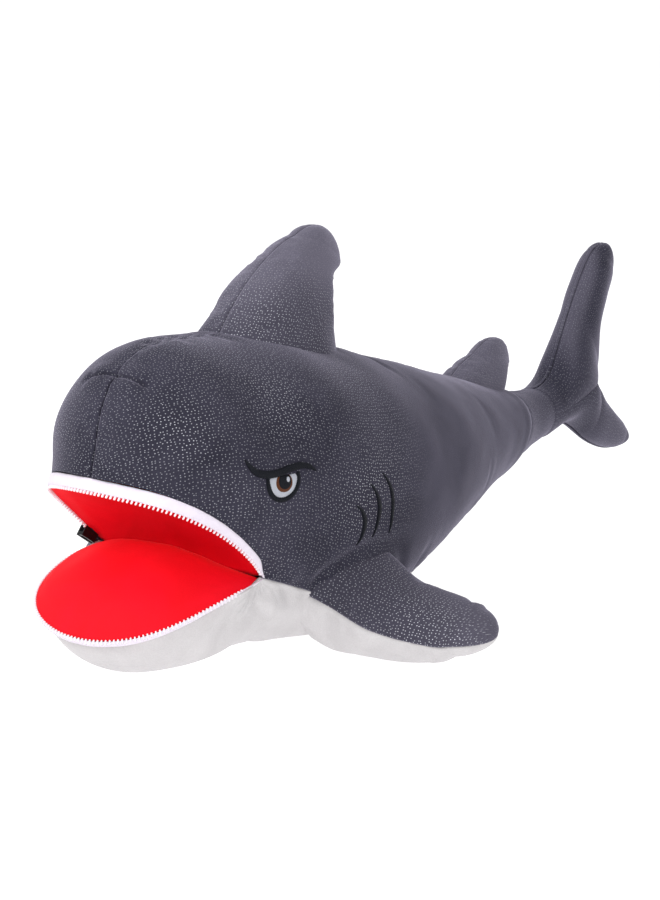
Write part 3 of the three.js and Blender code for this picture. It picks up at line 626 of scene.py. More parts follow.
def bendSkin(points, lip, reach):
    # the same bend carried into the fabric, fading with the distance from the lip
    slope = math.radians(mouth[lip + "Slope"])
    y, z = points[..., 1], points[..., 2] - cornerHeight
    s, n = z * math.sin(slope) - y * math.cos(slope), y * math.sin(slope) + z * math.cos(slope)
    share = 1 - ease(np.abs(n), 0, reach)
    x, drawn = pinch(points[..., 0], s, lip, share)
    # the head's own reach already has the pinch at the front
    return fromLip(lip, x, s if lip == "upper" else drawn, n - sag(s) * share)


def columnsFor(count, edge=0.03, dense=7):
    # 0..1 with closer columns by both edges, and one at the middle
    inner = np.linspace(edge, 1 - edge, 2 * count + 1)
    return np.concatenate([np.linspace(0, edge, dense)[:-1], inner, np.linspace(1 - edge, 1, dense)[1:]])


def lipTuck(t, slopeDegrees, reach, band, corner):
    # how far, in degrees of tilt, the fabric's edge stands off the lip's plane to leave the tape showing
    wide = band * ease(1 - t, 0, corner) * (0.5 + 0.5 * ease(1 - t, 0, 1.5 / lipEnd))
    return np.degrees(np.arctan2(wide, reach * (0.25 + 0.75 * (1 - t))))


def evenOut(grid, row, reach, free):
    # rows near the given one move towards the middle of their neighbours, again and again, which takes a crease out
    rows = np.arange(len(grid))
    share = (ease(reach - np.abs(rows - row), 0, reach)[:, None] * free)[1:-1, :, None] * 0.5
    grid = grid.copy()
    for _ in range(120):
        grid[1:-1] += share * ((grid[:-2] + grid[2:]) / 2 - grid[1:-1])
    return grid


dart = {"tilt": 67.5, "half": 27, "bow": 0.5, "depth": 2.5, "width": 1.35, "ridge": 0.7, "dimple": 2.6, "reach": 150}
nostril = {"tilt": 55, "side": 11, "depth": 1.2, "width": 5, "stretch": 2.4}
ring = {"y": 426, "lean": -0.6, "depth": 1.3, "width": 1.8, "bulge": 1.0}
finRoot = {"y": 84, "z": 48, "long": 47, "high": 33, "depth": 2.6, "width": 0.13}
tailFade = (435, 468)  # along y, where the trunk's dents give way to the tail's own


def dentedSkin(points, top, normal):
    # soft hollows and swellings of a hand-filled toy, and the seam round the root of the tail
    top = top * (1 - ease(points[..., 1], *tailFade))
    past = points[..., 1] - ring["y"] - ring["lean"] * (140 - points[..., 2])
    lift = (0.8 * ripple(points, 4, 110) + 0.14 * ripple(points, 9, 40)) * top
    lift -= ring["depth"] * np.exp(-((past / ring["width"]) ** 2)) * (top > 0)
    lift += ring["bulge"] * np.exp(-(((past + 9) / 8) ** 2)) * top - 0.5 * ease(past, -2, 2) * top
    return points + normal * lift[..., None]


def noseLift(tilt, across):
    # the dart sewn across the middle seam is a bowed valley with a low ridge on each side and a dimple at each end;
    # the nostril is a faint round hollow
    run = np.radians(tilt - dart["tilt"]) * dart["reach"] + dart["bow"] * (across / dart["half"]) ** 2
    inDart = ease(dart["half"] - across, -1, 3)
    valley = dart["depth"] * np.exp(-((run / dart["width"]) ** 2)) * inDart
    ridge = dart["ridge"] * np.exp(-(((np.abs(run) - 6) / 5) ** 2)) * inDart
    dimple = dart["dimple"] * np.exp(-(((across - dart["half"]) ** 2 + run**2) / 14))
    spot = ((tilt - nostril["tilt"]) * nostril["stretch"]) ** 2 + (across - nostril["side"]) ** 2
    return ridge - valley - dimple - nostril["depth"] * np.exp(-spot / nostril["width"] ** 2)


def rootDip(points):
    # a valley round the oval where the side fin is sewn on
    y, z = (points[..., 1] - finRoot["y"]) / finRoot["long"], (points[..., 2] - finRoot["z"]) / finRoot["high"]
    return finRoot["depth"] * np.exp(-(((np.hypot(y, z) - 1) / finRoot["width"]) ** 2))


def joinSoft(headTilt, y, corner):
    # near the mouth's corner all rows of the head meet, so lifts fade out there, and come back along the trunk
    return 1 - np.concatenate([(1 - corner) * np.ones_like(headTilt), (1 - corner) * (1 - ease(y, 0, 36))])


def sidePanelGrid(t):
    # rows fan about the mouth's corners from the lip to straight up, close together by the dart; the trunk's follow
    q = np.unique(np.concatenate([np.linspace(0, 1, 62), np.linspace(0.49, 0.62, 40)]))[:, None]
    tuck = lipTuck(t, mouth["upperSlope"], mouth["reach"], mouth["upperBand"] - 0.6, 0.1)
    tilt = (mouth["upperSlope"] + tuck + q * (90 - mouth["upperSlope"] - tuck))[:-1]
    y = np.linspace(0, body["tailStart"], 170)[:, None]
    head = bendSkin(headPoint(tilt, np.broadcast_to(t, tilt.shape)), "upper", 80)
    trunk = trunkPoint(y, np.broadcast_to(t, (len(y), t.shape[1])))
    inside = np.concatenate([xyz(0 * tilt, np.minimum(-20, head[..., 1] + 60), 130), xyz(0, trunk[..., 1], 100)])
    rows = len(head)
    flat = evenOut(np.concatenate([head, trunk]), rows, 22, ease(t, 0, 0.15) * ease(1 - t, 0, 0.05))
    normal = outward(flat, inside)
    soft = joinSoft(tilt, y, ease(1 - t, 0, 0.14))
    across = along(flat, 1)
    height = across[:, -1:] - across

    # the middle seam shows in front of the dart, hardly at all on top of the head, and again along the back
    above = np.concatenate([1 - 0.9 * ease(tilt, dart["tilt"] - 1, dart["tilt"] + 5),
                            (0.1 + 0.6 * ease(y, 10, 200)) * np.ones_like(t)])
    lift = groove(across, 1.5, 1.2, 1.0, 14) * soft * above
    lift[rows:] += seamPuff(height[rows:]) * ease(y, -1, 12)
    pucker = 0.28 * np.sin(along(flat, 0) * 0.75 + 2 * ripple(flat, 2, 60)) * soft
    lift += pucker * (above * np.exp(-((across - 4) / 5) ** 2) + np.exp(-((height - 4) / 5) ** 2))
    lift[:rows] += noseLift(tilt, across[:rows])
    lift[rows:] -= rootDip(flat[rows:]) * ease(height[rows:], 0, 12)
    settled = settleCloth("sidePanel", flat, normal, soft * ease(across, 0, 5) * ease(height, 0, 5))
    lift += settled * (1 - ease(flat[..., 1], 200, 330))
    lift *= 1 - ease(flat[..., 1], *tailFade)
    grid = flat + normal * lift[..., None]

    # the head's fan unrolls about the mouth's corner, and the trunk runs on from it
    turned = np.arctan2(np.maximum(-flat[..., 1], 0), np.maximum(flat[..., 2] - cornerHeight, 0.01))
    uv = np.stack([np.maximum(flat[..., 1], 0) - height * np.sin(turned), height * np.cos(turned)], -1)
    return dentedSkin(grid, soft * ease(across, 0, 10) * ease(height, 0, 10), normal), uv


tail = {
    "upperOuter": [(484, 123), (497, 131), (506, 146), (516, 165), (529, 188), (542, 208), (555, 225), (568, 236),
                   (587, 240)],
    "lowerOuter": [(485, 79), (502, 83), (519, 83), (537, 75), (557, 62), (577, 52), (598, 45), (616, 43), (632, 48)],
    "middle": [(490, 102), (514, 106), (536, 110), (556, 113), (568, 115)],
    "upperTip": [(568, 156), (581, 186), (594, 212), (586, 240)],
    "lowerTip": [(582, 98), (601, 82), (623, 65), (632, 48)],
    "lobeHalf": [0, 4, 9, 13, 16, 17, 17, 16, 11, 0],
}


def tailGrid(t):
    # each lobe's half: chords from its outer edge to the middle line and then to the edge that trails
    start, keys = body["tailStart"], np.arange(10)
    s = np.linspace(0, 9, 120)[:, None]
    stock = np.sqrt(np.clip(1 - (s / 5) ** 2.5, 0, 1)) * halfWidth(start)
    lobe = smoothLine(keys, tail["lobeHalf"])(s)
    lobe = np.where(s > 8, tail["lobeHalf"][8] * np.sqrt(np.clip(1 - (s - 8) ** 2, 0, 1)), lobe)
    halves, uvs = [], []
    for side in ("upper", "lower"):
        edge = backLine(start) if side == "upper" else bellyLine(start)
        outer = np.array([(start, edge), *tail[side + "Outer"]])
        inner = np.array([(start, widestAt(start)), *tail["middle"], *tail[side + "Tip"]])
        phi = math.pi * (t[t <= 0.5] if side == "upper" else 1 - t[t >= 0.5])[None, :]
        blend = ease(s, 0, 4)
        chord = (1 - blend) * (1 - np.cos(phi)) + blend * (1 - np.cos(2 * phi)) / 2
        a = [smoothLine(keys, outer[:, k])(s) for k in (0, 1)]
        b = [smoothLine(keys, inner[:, k])(s) for k in (0, 1)]
        y, z = (a[k] + (b[k] - a[k]) * chord for k in (0, 1))
        x = np.sqrt(np.maximum(lobe**2 * 4 * chord * (1 - chord) + stock**2 * chord * (2 - chord), 0))
        grid = xyz(x, y, z)
        normal = outward(grid, xyz(0 * x, y - 0.01, z))
        toEdge = np.linalg.norm(grid - xyz(0, a[0], a[1]), axis=-1)
        toTrail = np.linalg.norm(grid - xyz(0, b[0], b[1]), axis=-1) + 40 * (1 - ease(s, 4.6, 5.4))
        lift = (groove(toEdge, 1.3, 1.3, 0.7, 9) + groove(toTrail, 1.3, 1.3, 0.7, 9)) * ease(s, 0, 0.3)
        lift = lift + (0.5 * ripple(grid, 12, 50)) * ease(toEdge, 0, 9) * ease(toTrail, 0, 9) * ease(s, 0, 0.5)
        uvs.append(np.stack([toEdge + (0 if side == "upper" else 200), 470 + along(grid, 0)], -1))
        grid = grid + normal * lift[..., None]
        grid[..., 0] = np.maximum(grid[..., 0], 0)
        halves.append(grid)
    return halves, uvs


foilAndHighlights = {
    "patches": [((63, -60, 187), 24), ((86, 17, 190), 24), ((104, 70, 118), 28)],  # centre and radius of each painted highlight
    "base": 0.55,
    "patch": 0.9,
    "most": 1.3,
}


def foilWithHighlights(p):
    # printed over the head and the tail, with painted highlights that make it brightest in a few patches
    onHead = 1 - 0.97 * ease(p[:, 1] - 0.35 * (p[:, 2] - 110), 88, 165)
    onTail = 0.45 * ease(p[:, 1] + 0.6 * (140 - p[:, 2]), 424, 440)
    leftSide = np.abs(p) * [1, 0, 0] + p * [0, 1, 1]
    paintedHighlight = sum(np.exp(-np.sum((leftSide - centre) ** 2, 1) / radius**2) for centre, radius in foilAndHighlights["patches"])
    return np.maximum(onHead, onTail) * np.minimum(foilAndHighlights["most"], foilAndHighlights["base"] + foilAndHighlights["patch"] * paintedHighlight)


def paintedSheenOnTail(p):
    # painted sheen: the pile is lighter along both edges of the upper lobe and over the lower one
    y, z = p[:, 1], p[:, 2]
    front, back = 516 + 0.62 * (z - 165), 574 + 0.34 * (z - 156)
    part = (y - front) / np.maximum(back - front, 8)
    edges = 0.8 * ease(part, 0.4, 0.85) + 0.4 * (1 - ease(part, 0.05, 0.3))
    return np.maximum(edges * ease(z, 112, 140) * ease(y, 500, 520), 0.42 * ease(y, 545, 585) * (1 - ease(z, 95, 130)))


def buildSidePanels():
    # the grey half shell with both lobes of the tail, and its mirror image
    t = columnsFor(36)
    grid, uv = sidePanelGrid(t[None, :])
    grid[..., 0] = np.maximum(grid[..., 0], 0)
    lobes, lobeUvs = tailGrid(t)
    for side in ("left", "right"):
        grids = [grid, *lobes] if side == "left" else [mirror(g) for g in (grid, *lobes)]
        piece = makePiece("sidePanel" + side.title(), grids, (0, 150, 110), greyVelour, [uv, *lobeUvs])
        setFoil(piece, foilWithHighlights, paintedSheenOnTail)
        thicken(piece, 1.6)
        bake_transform(piece)
        finish(piece, "grey_velour", "side_panel_" + side, "tail_panel_" + side,
               *(["trunk_stuffing", "head_stuffing", "tail_stuffing"] if side == "left" else []))


def rest(points, low=0.35, soft=3.0):
    # flat where it lies on the ground, easing into its own shape just above
    z = points[..., 2]
    points[..., 2] = np.where(z < low + soft, low + soft * np.exp((z - low - soft) / soft), z)
    return points


throat = {"y": 2, "width": 26, "bulge": 5.5}


def buildUnderside():
    # one white panel from the lower lip round the jaw and the throat to the point of the belly
    t = columnsFor(22, 0.04)
    spread = np.concatenate([-(1 - t), (1 - t)[::-1][1:]])[None, :]
    base = 1 - np.abs(spread)
    q = np.linspace(0, 1, 70)[:, None]
    tuck = lipTuck(1 - base, mouth["lowerSlope"], mouth["reach"], mouth["lowerBand"] - 0.4, 0.08)
    tilt = (mouth["lowerSlope"] - tuck + q * (-90 - mouth["lowerSlope"] + tuck))[:-1]
    jaw = bendSkin(jawPoint(tilt, np.broadcast_to(base, tilt.shape)), "lower", 45)
    y = np.linspace(0, body["seamStations"][-1], 130)[:, None]
    belly = bellyPoint(y, np.broadcast_to(base, (len(y), base.shape[1])))
    rows = len(jaw)
    grid = np.concatenate([jaw, belly]) * xyz(np.sign(spread) + (spread == 0), 1, 1)
    grid = evenOut(grid, rows, 20, ease(base, 0, 0.12))
    normal = outward(grid, xyz(0 * grid[..., 0], np.maximum(grid[..., 1], -60), 60))
    across = along(grid, 1)
    edge = np.minimum(across, across[:, -1:] - across)
    soft = joinSoft(tilt, y, ease(base, 0, 0.2))
    lift = 0.8 * ripple(grid, 21, 80) * soft * ease(edge, 0, 14)
    lift[rows:] += seamPuff(edge[rows:]) * ease(y, -1, 30)
    fullness = throat["bulge"] * np.exp(-(((grid[..., 1] - throat["y"]) / throat["width"]) ** 2))
    lift += fullness * ease(edge, 6, 40) * ease(np.abs(grid[..., 0]), 20, 60)
    lift += settleCloth("bellyPanel", grid, normal, soft * ease(edge, 0, 5))
    grid = rest(grid + normal * lift[..., None], soft=2.0)
    piece = makePiece("bellyPanel", [grid], (0, 120, 70), whitePlush)
    thicken(piece, 1.6)
    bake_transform(piece)
    finish(piece, "white_plush", "belly_panel", "jaw_panel", "jaw_stuffing")


buildSidePanels()
buildUnderside()
print("body sewn")

lining = {"upper": 22, "lower": 18.5, "back": 10, "fold": 7, "upperEdge": 1.6, "lowerEdge": -1.2}


def moundAt(x, s, height):
    # a pillow over the lip's disc: low by the teeth and at the fold between the corners
    r = np.hypot(x, s - lipCentre) / (lipRadius - 1)
    return height * np.maximum(0, 1 - r**2.6) * (1 - np.exp(-np.maximum(s, 0) / lining["back"])) ** 0.9


def buildLining(name, lip, node):
    # rings from the fold between the corners out to the lip's arc, raised to the pillow and turned up at the teeth
    k = np.linspace(0, 1, 60)[:, None] ** 0.9
    t = np.linspace(-1, 1, 121)[None, :]
    reach = lipRadius - 0.9
    x = reach * np.sin(t * lipEnd) * k
    s = np.maximum(0, lipCentre + reach * np.cos(t * lipEnd)) * k
    flat = xyz(x, s, 0)
    n = moundAt(x, s, lining[lip]) + lining[lip + "Edge"] * ease(k, 0.9, 1) - sag(s)
    n += (0.9 * ripple(flat, 31, 70) + 0.3 * ripple(flat, 33, 26)) * ease(k, 0, 0.3) * (1 - k**4)
    x, s = pinch(x, s, lip)
    grid = fromLip(lip, x, s - lining["fold"] * (1 - k) ** 2, n)
    piece = makePiece(name, [grid], (0, -60, 200 if lip == "upper" else -100), redVelour)
    thicken(piece, 1.5)
    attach(piece, lipBody[lip])
    finish(piece, "red_velour", node)


tape = {"low": 1.6, "over": 1.2, "upperThick": 1.15, "lowerThick": 0.8, "upperFlare": 3.0, "lowerFlare": -1.0}


def buildTape(lip):
    # a folded tape round the lip, rounded outside, that narrows into the corners
    low, high = tape["low"], mouth[lip + "Band"] + tape["over"]
    angle = np.linspace(-lipEnd, lipEnd, 260)
    thin = ease(lipEnd - np.abs(angle), 0, 0.22)
    slim = 0.5 + 0.5 * ease(lipEnd - np.abs(angle), 0, 1.5)
    turn = np.linspace(0, 2 * math.pi, 28, endpoint=False)
    n = (low + high) / 2 + (high - low) / 2 * signedPower(np.cos(turn), 0.7)
    n = n[None, :] * ((0.3 + 0.7 * thin) * slim)[:, None]
    r = 0.15 + tape[lip + "Thick"] * signedPower(np.sin(turn), 0.8)
    radius = lipRadius + r[None, :] + tape[lip + "Flare"] * (n / high) * thin[:, None]
    grid = lipPoint(lip, angle[:, None] * np.ones_like(n), radius, n)
    grid += 0.12 * ripple(grid, 41, 14)[..., None] * unit(grid - lipPoint(lip, angle[:, None], 0, 0))
    around = np.broadcast_to(np.linspace(0, 2 * (high - low), 28)[None, :], n.shape)
    uv = np.stack([angle[:, None] * lipRadius * np.ones_like(n), around], -1)
    piece = makePiece("zipTape" + lip.title(), [grid], (0, -lipCentre, 90), zipTape, [uv], merge=None, closed=True)
    turnOut(piece, (0, len(angle) - 1), 28)
    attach(piece, lipBody[lip])
    finish(piece, "zip_tape", "zip_tape_" + lip)


teeth = {
    "pitch": 3.3,
    "width": 1.5,
    "thick": 2.3,
    "root": 3.4,
    "upper": {"end": 109, "tip": -0.9, "shift": 0},  # end: degrees round the lip from its middle
    "lower": {"end": 98, "tip": 0.2, "shift": 0.5},
    "level": [0, 0.3, 0.62, 0.85, 1.0],  # from root to tip
    "size": [1.05, 0.72, 0.98, 0.92, 0.5],
}


def buildTeeth(lip):
    # each tooth is a ring of rounded squares from its root to its tip, fuller at the head than at the neck
    row, level, size = teeth[lip], np.array(teeth["level"]), np.array(teeth["size"])[None, :, None]
    reach = math.radians(row["end"]) * lipRadius
    count = int(reach / teeth["pitch"])
    arcs = (np.arange(-count, count + 1) + row["shift"]) * teeth["pitch"]
    arcs = arcs[np.abs(arcs) < reach]
    turn = (np.arange(8) + 0.5) * math.pi / 4
    lengthwise = arcs[:, None, None] + size * teeth["width"] / 2 * signedPower(np.cos(turn), 0.55)
    crosswise = size * teeth["thick"] / 2 * signedPower(np.sin(turn), 0.55)
    n = (teeth["root"] + (row["tip"] - teeth["root"]) * level)[None, :, None] * np.ones_like(lengthwise)
    points = lipPoint(lip, lengthwise / lipRadius, lipRadius + crosswise, n)
    first = (np.arange(len(arcs)) * len(level) * 8)[:, None, None]
    sides = (quads(len(level), 8, True) + first).reshape(-1, 4)
    caps = (np.arange(8) + np.array([[0], [(len(level) - 1) * 8]]) + first).reshape(-1, 8)
    piece = addPiece("zipTeeth" + lip.title(), points.reshape(-1, 3), sides.tolist() + caps.tolist())
    turnOut(piece)
    cover(piece, zipTeeth)
    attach(piece, lipBody[lip])
    finish(piece, "zip_teeth", "zip_teeth_" + lip)


buildLining("palateLining", "upper", "palate_lining")
buildLining("tongueLining", "lower", "tongue_lining")
for lip in ("upper", "lower"):
    buildTape(lip)
    buildTeeth(lip)
for node in ("zip_slider", "zip_pull"):
    for slot in frame["nodes"][node].material_slots:
        slot.material = blackEnamel
print("mouth lined and zipped")


def finShape(fin, halfThick):
    # chords between two edges, each with a blunt oval section: s 0 root to 1 tip, turn -90 and 90 at the edges
    keys = np.arange(len(fin["leading"]))
    front, rear = ([smoothLine(keys, [p[k] for p in fin[edge]]) for k in range(3)] for edge in ("leading", "trailing"))
    thick, last, across = smoothLine(keys, halfThick), len(keys) - 1, unit(np.array(fin["side"], float))
    tip, blunt = np.array(fin["leading"][-1]), fin["blunt"]

    def point(s, turn):
        u = np.minimum(s * last, last - 1)
        a = np.stack([f(u) for f in front], -1)
        b = np.stack([f(u) for f in rear], -1)
        # past the last chord but one the fin closes in a round end that starts with its own taper
        end = np.sin(np.clip(s * last - last + 1, 0, 1)[..., None] * math.pi / 2)
        left = np.sqrt(np.maximum((1 - end) * (1 + 0.12 * end), 0))
        full = signedPower(np.cos(turn), blunt)[..., None] * across
        wide = signedPower(np.sin(turn), 0.5 + blunt / 2)[..., None]
        middle = (a + b) / 2 + (tip - (a + b) / 2) * end
        return middle + ((b - a) / 2 * wide + thick(u)[..., None] * full) * left

    return point


# edges run from root to tip; half and below are how far the panels stand out from the middle of each chord; foil and
# the painted sheen give the strength of each at a place
fins = {
    "dorsal": {
        "leading": [(0, 34, 210), (0, 52, 235), (0, 77, 261), (0, 107, 281), (0, 134, 291), (0, 168, 293.5)],
        "trailing": [(0, 162, 180), (0, 160, 214), (0, 163, 238), (0, 170, 254), (0, 181, 267), (0, 168, 293.5)],
        "half": [47, 38, 30, 22, 15, 0],
        "side": (1, 0, 0),
        "blunt": 0.76,
        "foil": lambda p: 0.15 + 0.75 * (1 - ease(p[:, 2] + 0.35 * np.abs(p[:, 1] - 100), 245, 290)),
        "paintedSheen": lambda p: 0.25 + 0.5 * ease(p[:, 2] + 0.3 * np.abs(p[:, 1] - 105), 240, 285),
    },
    "secondDorsal": {
        "leading": [(0, 325, 138), (0, 349, 157), (0, 374, 167), (0, 409, 176)],
        "trailing": [(0, 400, 112), (0, 416, 144), (0, 425, 156), (0, 409, 176)],
        "half": [21, 18, 12, 0],
        "side": (1, 0, 0),
        "blunt": 0.8,
        "foil": lambda p: np.full(len(p), 0.35),
        "paintedSheen": lambda p: np.full(len(p), 0.6),
    },
    "sideFin": {
        "leading": [(70, 30, 58), (98, 46, 42.5), (130, 54, 28), (163, 72, 19), (179, 85, 17.5), (197.5, 114, 20)],
        "trailing": [(70, 124, 76), (98, 121, 58), (130, 128, 37), (163, 136, 29), (179, 134, 27), (197.5, 114, 20)],
        "half": [27, 24, 22, 19, 14, 0],
        "below": [52, 50, 34, 24, 15, 0],
        "side": (0.2, -0.05, 0.97),
        "blunt": 0.85,
        "foil": lambda p: 0.15 + 0.85 * (1 - ease(p[:, 1], 85, 125)),
        "paintedSheen": lambda p: 0.2 + 0.3 * ease(p[:, 1] + 0.2 * np.abs(p[:, 0]), 95, 150),
    },
}


def finPanel(name, shape, middle, seed):
    # half of the fin round the middle direction: seams at its edges, puckers beside them, and a flat resting place
    s = np.linspace(0, 1, 90)[:, None]
    turn = middle + np.linspace(-1, 1, 71)[None, :] * math.pi / 2
    grid = shape(np.broadcast_to(s, (90, 71)), np.broadcast_to(turn, (90, 71)))
    centre = (grid[:, :1] + grid[:, -1:]) / 2
    normal = outward(grid, centre + 0 * grid)
    across, down = along(grid, 1), along(grid, 0)
    edge = np.minimum(across, across[:, -1:] - across)
    pucker = 0.14 * np.sin(down * 0.8 + 2 * ripple(grid, 5, 50)) * np.exp(-(((edge - 4) / 4) ** 2))
    lift = groove(edge, 1.2, 1.2, 0.8, 9) + pucker + 0.55 * ripple(grid, seed, 46) * ease(edge, 0, 9)
    settled = settleCloth(name, grid, normal, ease(edge, 0, 4) * ease(s, 0, 0.04) * ease(1 - s, 0, 0.04))
    lift = (lift + settled * ease(1 - s, 0.05, 0.4)) * ease(1 - s, 0, 0.2)
    return rest(grid + normal * lift[..., None]), np.stack([across, down], -1), centre.mean((0, 1))


def buildFin(name, side, fin, seed, bodyName, nodes, white=False):
    # one panel of a fin; the white one faces down
    shape = finShape(fin, fin["below" if white else "half"])
    name += side.title()
    grid, uv, centre = finPanel(name, shape, math.pi if white else 0, seed)
    if side == "right":
        grid, centre = mirror(grid), mirror(centre)
    piece = makePiece(name, [grid], centre, whitePlush if white else greyVelour, [uv])
    if not white:
        setFoil(piece, fin["foil"], fin["paintedSheen"])
    thicken(piece, 1.5)
    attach(piece, bodyName)
    finish(piece, "white_plush" if white else "grey_velour", *nodes)


for name, node in (("dorsal", "dorsal"), ("secondDorsal", "second_dorsal")):
    for side in ("left", "right"):
        nodes = [node + "_panel_" + side] + ([node + "_stuffing"] if side == "left" else [])
        buildFin(name + "Panel", side, fins[name], 3, "trunk", nodes)
for side in ("left", "right"):
    nodes = ["side_fin_top_" + side, "side_fin_stuffing_" + side]
    buildFin("sideFinTop", side, fins["sideFin"], 7, "fin_" + side, nodes)
    buildFin("sideFinBase", side, fins["sideFin"], 8, "fin_" + side, ["side_fin_base_" + side], white=True)
print("fins sewn on")

# ovals as middle y, z and half sizes; bands as points of y, z and half width
eye = {
    "white": (1.1, 141, 12, 11),
    "browEdge": 146.2,
    "iris": (1.1, 141.4, 6.9, 7.1),
    "pupil": (1.5, 142.2, 5.3, 5.8),
    "glint": (3.9, 143.2, 1.3, 1.9),
    "rim": [(-11.5, 146.5, 1.0), (-11.3, 141, 1.5), (-9.4, 135.2, 1.7), (-5.8, 131.1, 1.8), (-1, 129.5, 1.9),
            (4.2, 130.6, 1.8), (8.8, 133.8, 1.7), (12.2, 139.4, 1.6), (13.5, 147, 1.2)],
    "brow": [(-26, 160.2, 0.3), (-23.2, 154.9, 1.6), (-19.4, 151, 2.4), (-12.6, 148.6, 2.7), (-4.6, 148.2, 2.6),
             (7.9, 150, 2.5), (17.8, 150.5, 2.2), (23, 149, 1.7), (28, 145.4, 0.3)],
}
gills = [
    [(61.8, 115.2, 0.3), (68.7, 108.8, 1.4), (71.8, 101, 2.0), (70.6, 92.6, 1.5), (66.6, 84.6, 0.3)],
    [(77.4, 127.8, 0.3), (83.8, 119, 1.4), (87.3, 108.4, 2.0), (86.2, 99, 1.6), (82.6, 87.4, 0.3)],
    [(92.7, 132.8, 0.3), (99, 123.8, 1.3), (102.8, 111.3, 1.8), (102.8, 99, 1.5), (101.4, 86.6, 0.3)],
]


def measureSide(piece):
    # how far out the sewn side panel is, every millimetre over the cheek, measured along x
    mesh = piece.data
    tree = BVHTree.FromPolygons([v.co for v in mesh.vertices], [p.vertices for p in mesh.polygons])
    ys, zs = np.arange(-60, 135.0), np.arange(72, 176.0)
    hits = [[tree.ray_cast(Vector(place((300, y, z))), Vector((-1, 0, 0)))[0] for z in zs] for y in ys]
    far = np.array([[hit.x * 1000 if hit else 80 for hit in row] for row in hits])
    for axis in (0, 1):
        far = (np.roll(far, 1, axis) + 2 * far + np.roll(far, -1, axis)) / 4
    return ys, zs, far


ys, zs, cheek = measureSide(bpy.data.objects["sidePanelLeft"])


def sideAt(y, z):
    # the measured cheek, read between its stations
    u = np.clip(np.asarray(y) - ys[0], 1, len(ys) - 2.001)
    v = np.clip(np.asarray(z) - zs[0], 1, len(zs) - 2.001)
    u, v = np.broadcast_arrays(u, v)
    i, k = u.astype(int), v.astype(int)
    a, b = u - i, v - k
    return ((1 - a) * (1 - b) * cheek[i, k] + a * (1 - b) * cheek[i + 1, k] + (1 - a) * b * cheek[i, k + 1]
            + a * b * cheek[i + 1, k + 1])


def onSide(y, z, lift):
    # y, z laid on the side of the body and raised along its normal
    e = 0.5
    dy = (sideAt(y + e, z) - sideAt(y - e, z)) / (2 * e)
    dz = (sideAt(y, z + e) - sideAt(y, z - e)) / (2 * e)
    normal = unit(xyz(1, -dy, -dz))
    return xyz(sideAt(y, z), y, z) + normal * np.asarray(lift)[..., None]


def addStitches(name, grid, uv, material, slot, node):
    # on the left as given and mirrored on the right, each facing away from the body
    for side, sign in (("left", 1), ("right", -1)):
        points = grid * [sign, 1, 1]
        inside = points.mean((0, 1)) - [30 * sign, 0, 0]
        piece = makePiece(name + side.title(), [points], inside, material, [uv], merge=2e-6)
        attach(piece, "trunk")
        finish(piece, slot, node + "_" + side)


def stitchBand(name, line, material, slot, node, base, high):
    # a raised band along a line of y, z, half width; threads lie across it
    line = np.array(line, float)
    keys = np.concatenate([[0], np.cumsum(np.linalg.norm(np.diff(line[:, :2], axis=0), axis=1))])
    run = np.linspace(0, keys[-1], max(40, int(keys[-1] * 2)))
    y, z, w = (smoothLine(keys, line[:, k])(run) for k in range(3))
    w = np.maximum(w, 0.2)
    direction = unit(np.stack([np.gradient(y), np.gradient(z)], -1))
    c = np.linspace(-1, 1, 15)[None, :]
    edge = 1 + 0.06 * np.sin(run * 9)[:, None]  # thread ends don't line up exactly
    yy = y[:, None] - direction[:, 1:] * w[:, None] * c * edge
    zz = z[:, None] + direction[:, :1] * w[:, None] * c * edge
    lift = base + high * np.sqrt(np.clip(1 - c**2, 0, 1)) ** 0.8 * np.minimum(1, w / w.max() + 0.3)[:, None]
    lift = np.where(np.abs(c) > 0.99, -0.6, lift)
    uv = np.stack([np.broadcast_to(run[:, None], yy.shape), c * w[:, None]], -1)
    addStitches(name, onSide(yy, zz, lift), uv, material, slot, node)


def stitchPatch(name, centre, outline, material, slot, node, base, high):
    # a raised patch: rings from its centre to its outline, with threads upright
    ring = np.linspace(0, 1, 16)[:, None]
    turn = np.linspace(0, 2 * math.pi, 73)[None, :]
    oy, oz = outline(turn)
    y = centre[0] + (oy - centre[0]) * ring
    z = centre[1] + (oz - centre[1]) * ring
    lift = np.where(ring > 0.99, -0.5, base + high * (1 - ring**6))
    lift = np.broadcast_to(lift, y.shape)
    addStitches(name, onSide(y, z, lift), np.stack([y, z], -1), material, slot, node)


def capped(y, z, a, b):
    # an oval cut off straight along the lower edge of the brow
    return lambda t: (y + a * np.sin(t), np.minimum(z + b * np.cos(t), eye["browEdge"]))


def buildEyes():
    # white, iris, pupil and glint lie on each other, each a little higher; the rim and the brow go round and over them
    parts = (("white", whiteThread, "white_thread", 2, 0.35, 0.35), ("iris", brownThread, "brown_thread", 1, 0.8, 0.3),
             ("pupil", blackThread, "black_thread", 1, 1.15, 0.3), ("glint", whiteThread, "white_thread", 1, 1.5, 0.3))
    for part, material, slot, drop, base, high in parts:
        y, z, a, b = eye[part]
        stitchPatch("eye" + part.title(), (y, z - drop), capped(y, z, a, b), material, slot, "eye_" + part, base, high)
    stitchBand("eyeRim", eye["rim"], blackThread, "black_thread", "eye_rim", 0.5, 0.8)
    stitchBand("brow", eye["brow"], blackThread, "black_thread", "brow", 1.2, 1.0)


buildEyes()
for i, line in enumerate(gills):
    stitchBand(f"gill{i + 1}", line, blackThread, "black_thread", f"gill_{i + 1}", 0.3, 0.9)
print("face embroidered")

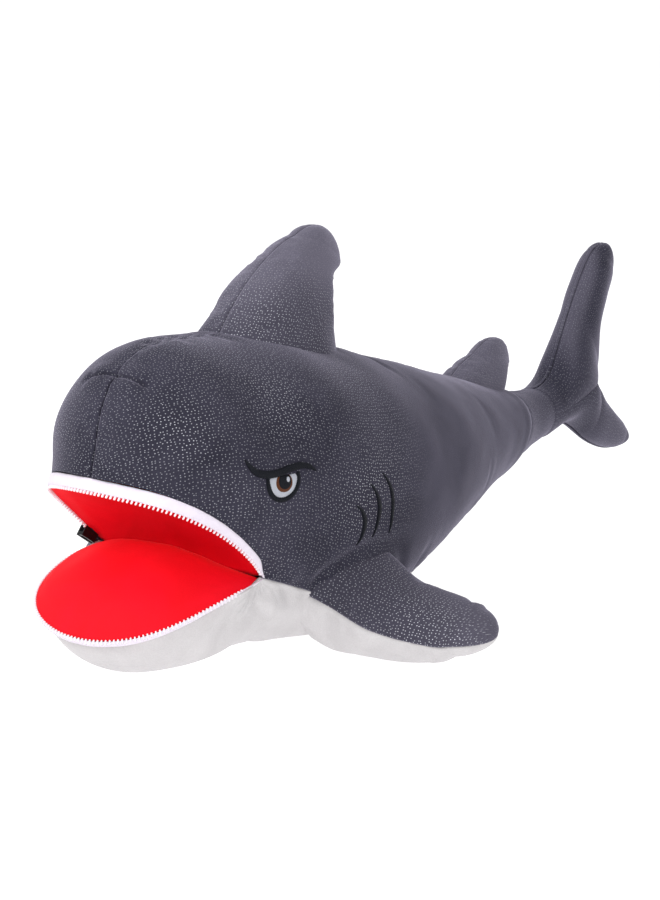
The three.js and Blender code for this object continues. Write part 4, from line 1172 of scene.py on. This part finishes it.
studio = {"floor": (0.36, 0.36, 0.36, 1), "size": 60000, "glow": 0.85, "world": 0.42, "backdrop": 1.05}
lights = [  # name, place, watts, millimetres across
    ("key", (-1100, -1700, 1700), 40, 1300),
    ("fill", (1900, -1300, 1000), 24, 1500),
    ("top", (100, 200, 2300), 14, 2000),
    ("rear", (-900, 1900, 1300), 9, 1200),
]
camera = {"target": (-17.88, 200, 111.41), "azimuth": 38, "elevation": 13, "distance": 1600, "lens": 80.4}


def standAt(name, thing, at, target):
    # a lamp or camera at a place, turned to the target
    holder = bpy.data.objects.new(name, thing)
    holder.location = at
    holder.rotation_euler = (target - holder.location).to_track_quat("-Z", "Y").to_euler()
    bpy.context.scene.collection.objects.link(holder)
    return holder


def buildFloor():
    # glowing white paper, which still takes a soft shadow
    size = studio["size"]
    floor = addPiece("floor", [(-size, -size, 0), (size, -size, 0), (size, size, 0), (-size, size, 0)], [(0, 1, 2, 3)])
    paper = makePlainMaterial("floorPaper", studio["floor"], studio["floor"], (0.9, 0.8), 0, 30, 0.0001)
    feed(paper.node_tree.nodes["Principled BSDF"],
         {"Emission Color": (1, 1, 1, 1), "Emission Strength": studio["glow"]})
    floor.data.materials.append(paper)


def buildWorld():
    # white, and brighter to the camera than to the shark
    world = bpy.data.worlds.new("studio")
    world.use_nodes = True
    tree = world.node_tree
    seen = addNode(tree, "LightPath", {})["Is Camera Ray"]
    feed(tree.nodes["Background"],
         {0: (1, 1, 1, 1), 1: rangeNode(tree, seen, 0, 1, studio["world"], studio["backdrop"])})
    bpy.context.scene.world = world
    bpy.context.scene.view_settings.view_transform = "Standard"


def addLightsAndCamera():
    # round lamps, and a camera that looks at the target from its azimuth, elevation and distance
    target = Vector(place(camera["target"]))
    for name, at, power, size in lights:
        lamp = bpy.data.lights.new(name, "AREA")
        lamp.shape, lamp.size, lamp.energy = "DISK", size * 0.001, power
        standAt(name, lamp, Vector(place(at)), target)
    lens = bpy.data.cameras.new("camera")
    lens.lens, lens.sensor_width = camera["lens"], 36
    lens.clip_start, lens.clip_end = 0.05, 60
    a, e = math.radians(camera["azimuth"]), math.radians(camera["elevation"])
    away = Vector((math.sin(a) * math.cos(e), -math.cos(a) * math.cos(e), math.sin(e)))
    bpy.context.scene.camera = standAt("camera", lens, target + away * camera["distance"] * 0.001, target)


buildFloor()
buildWorld()
addLightsAndCamera()
bpy.context.view_layer.update()
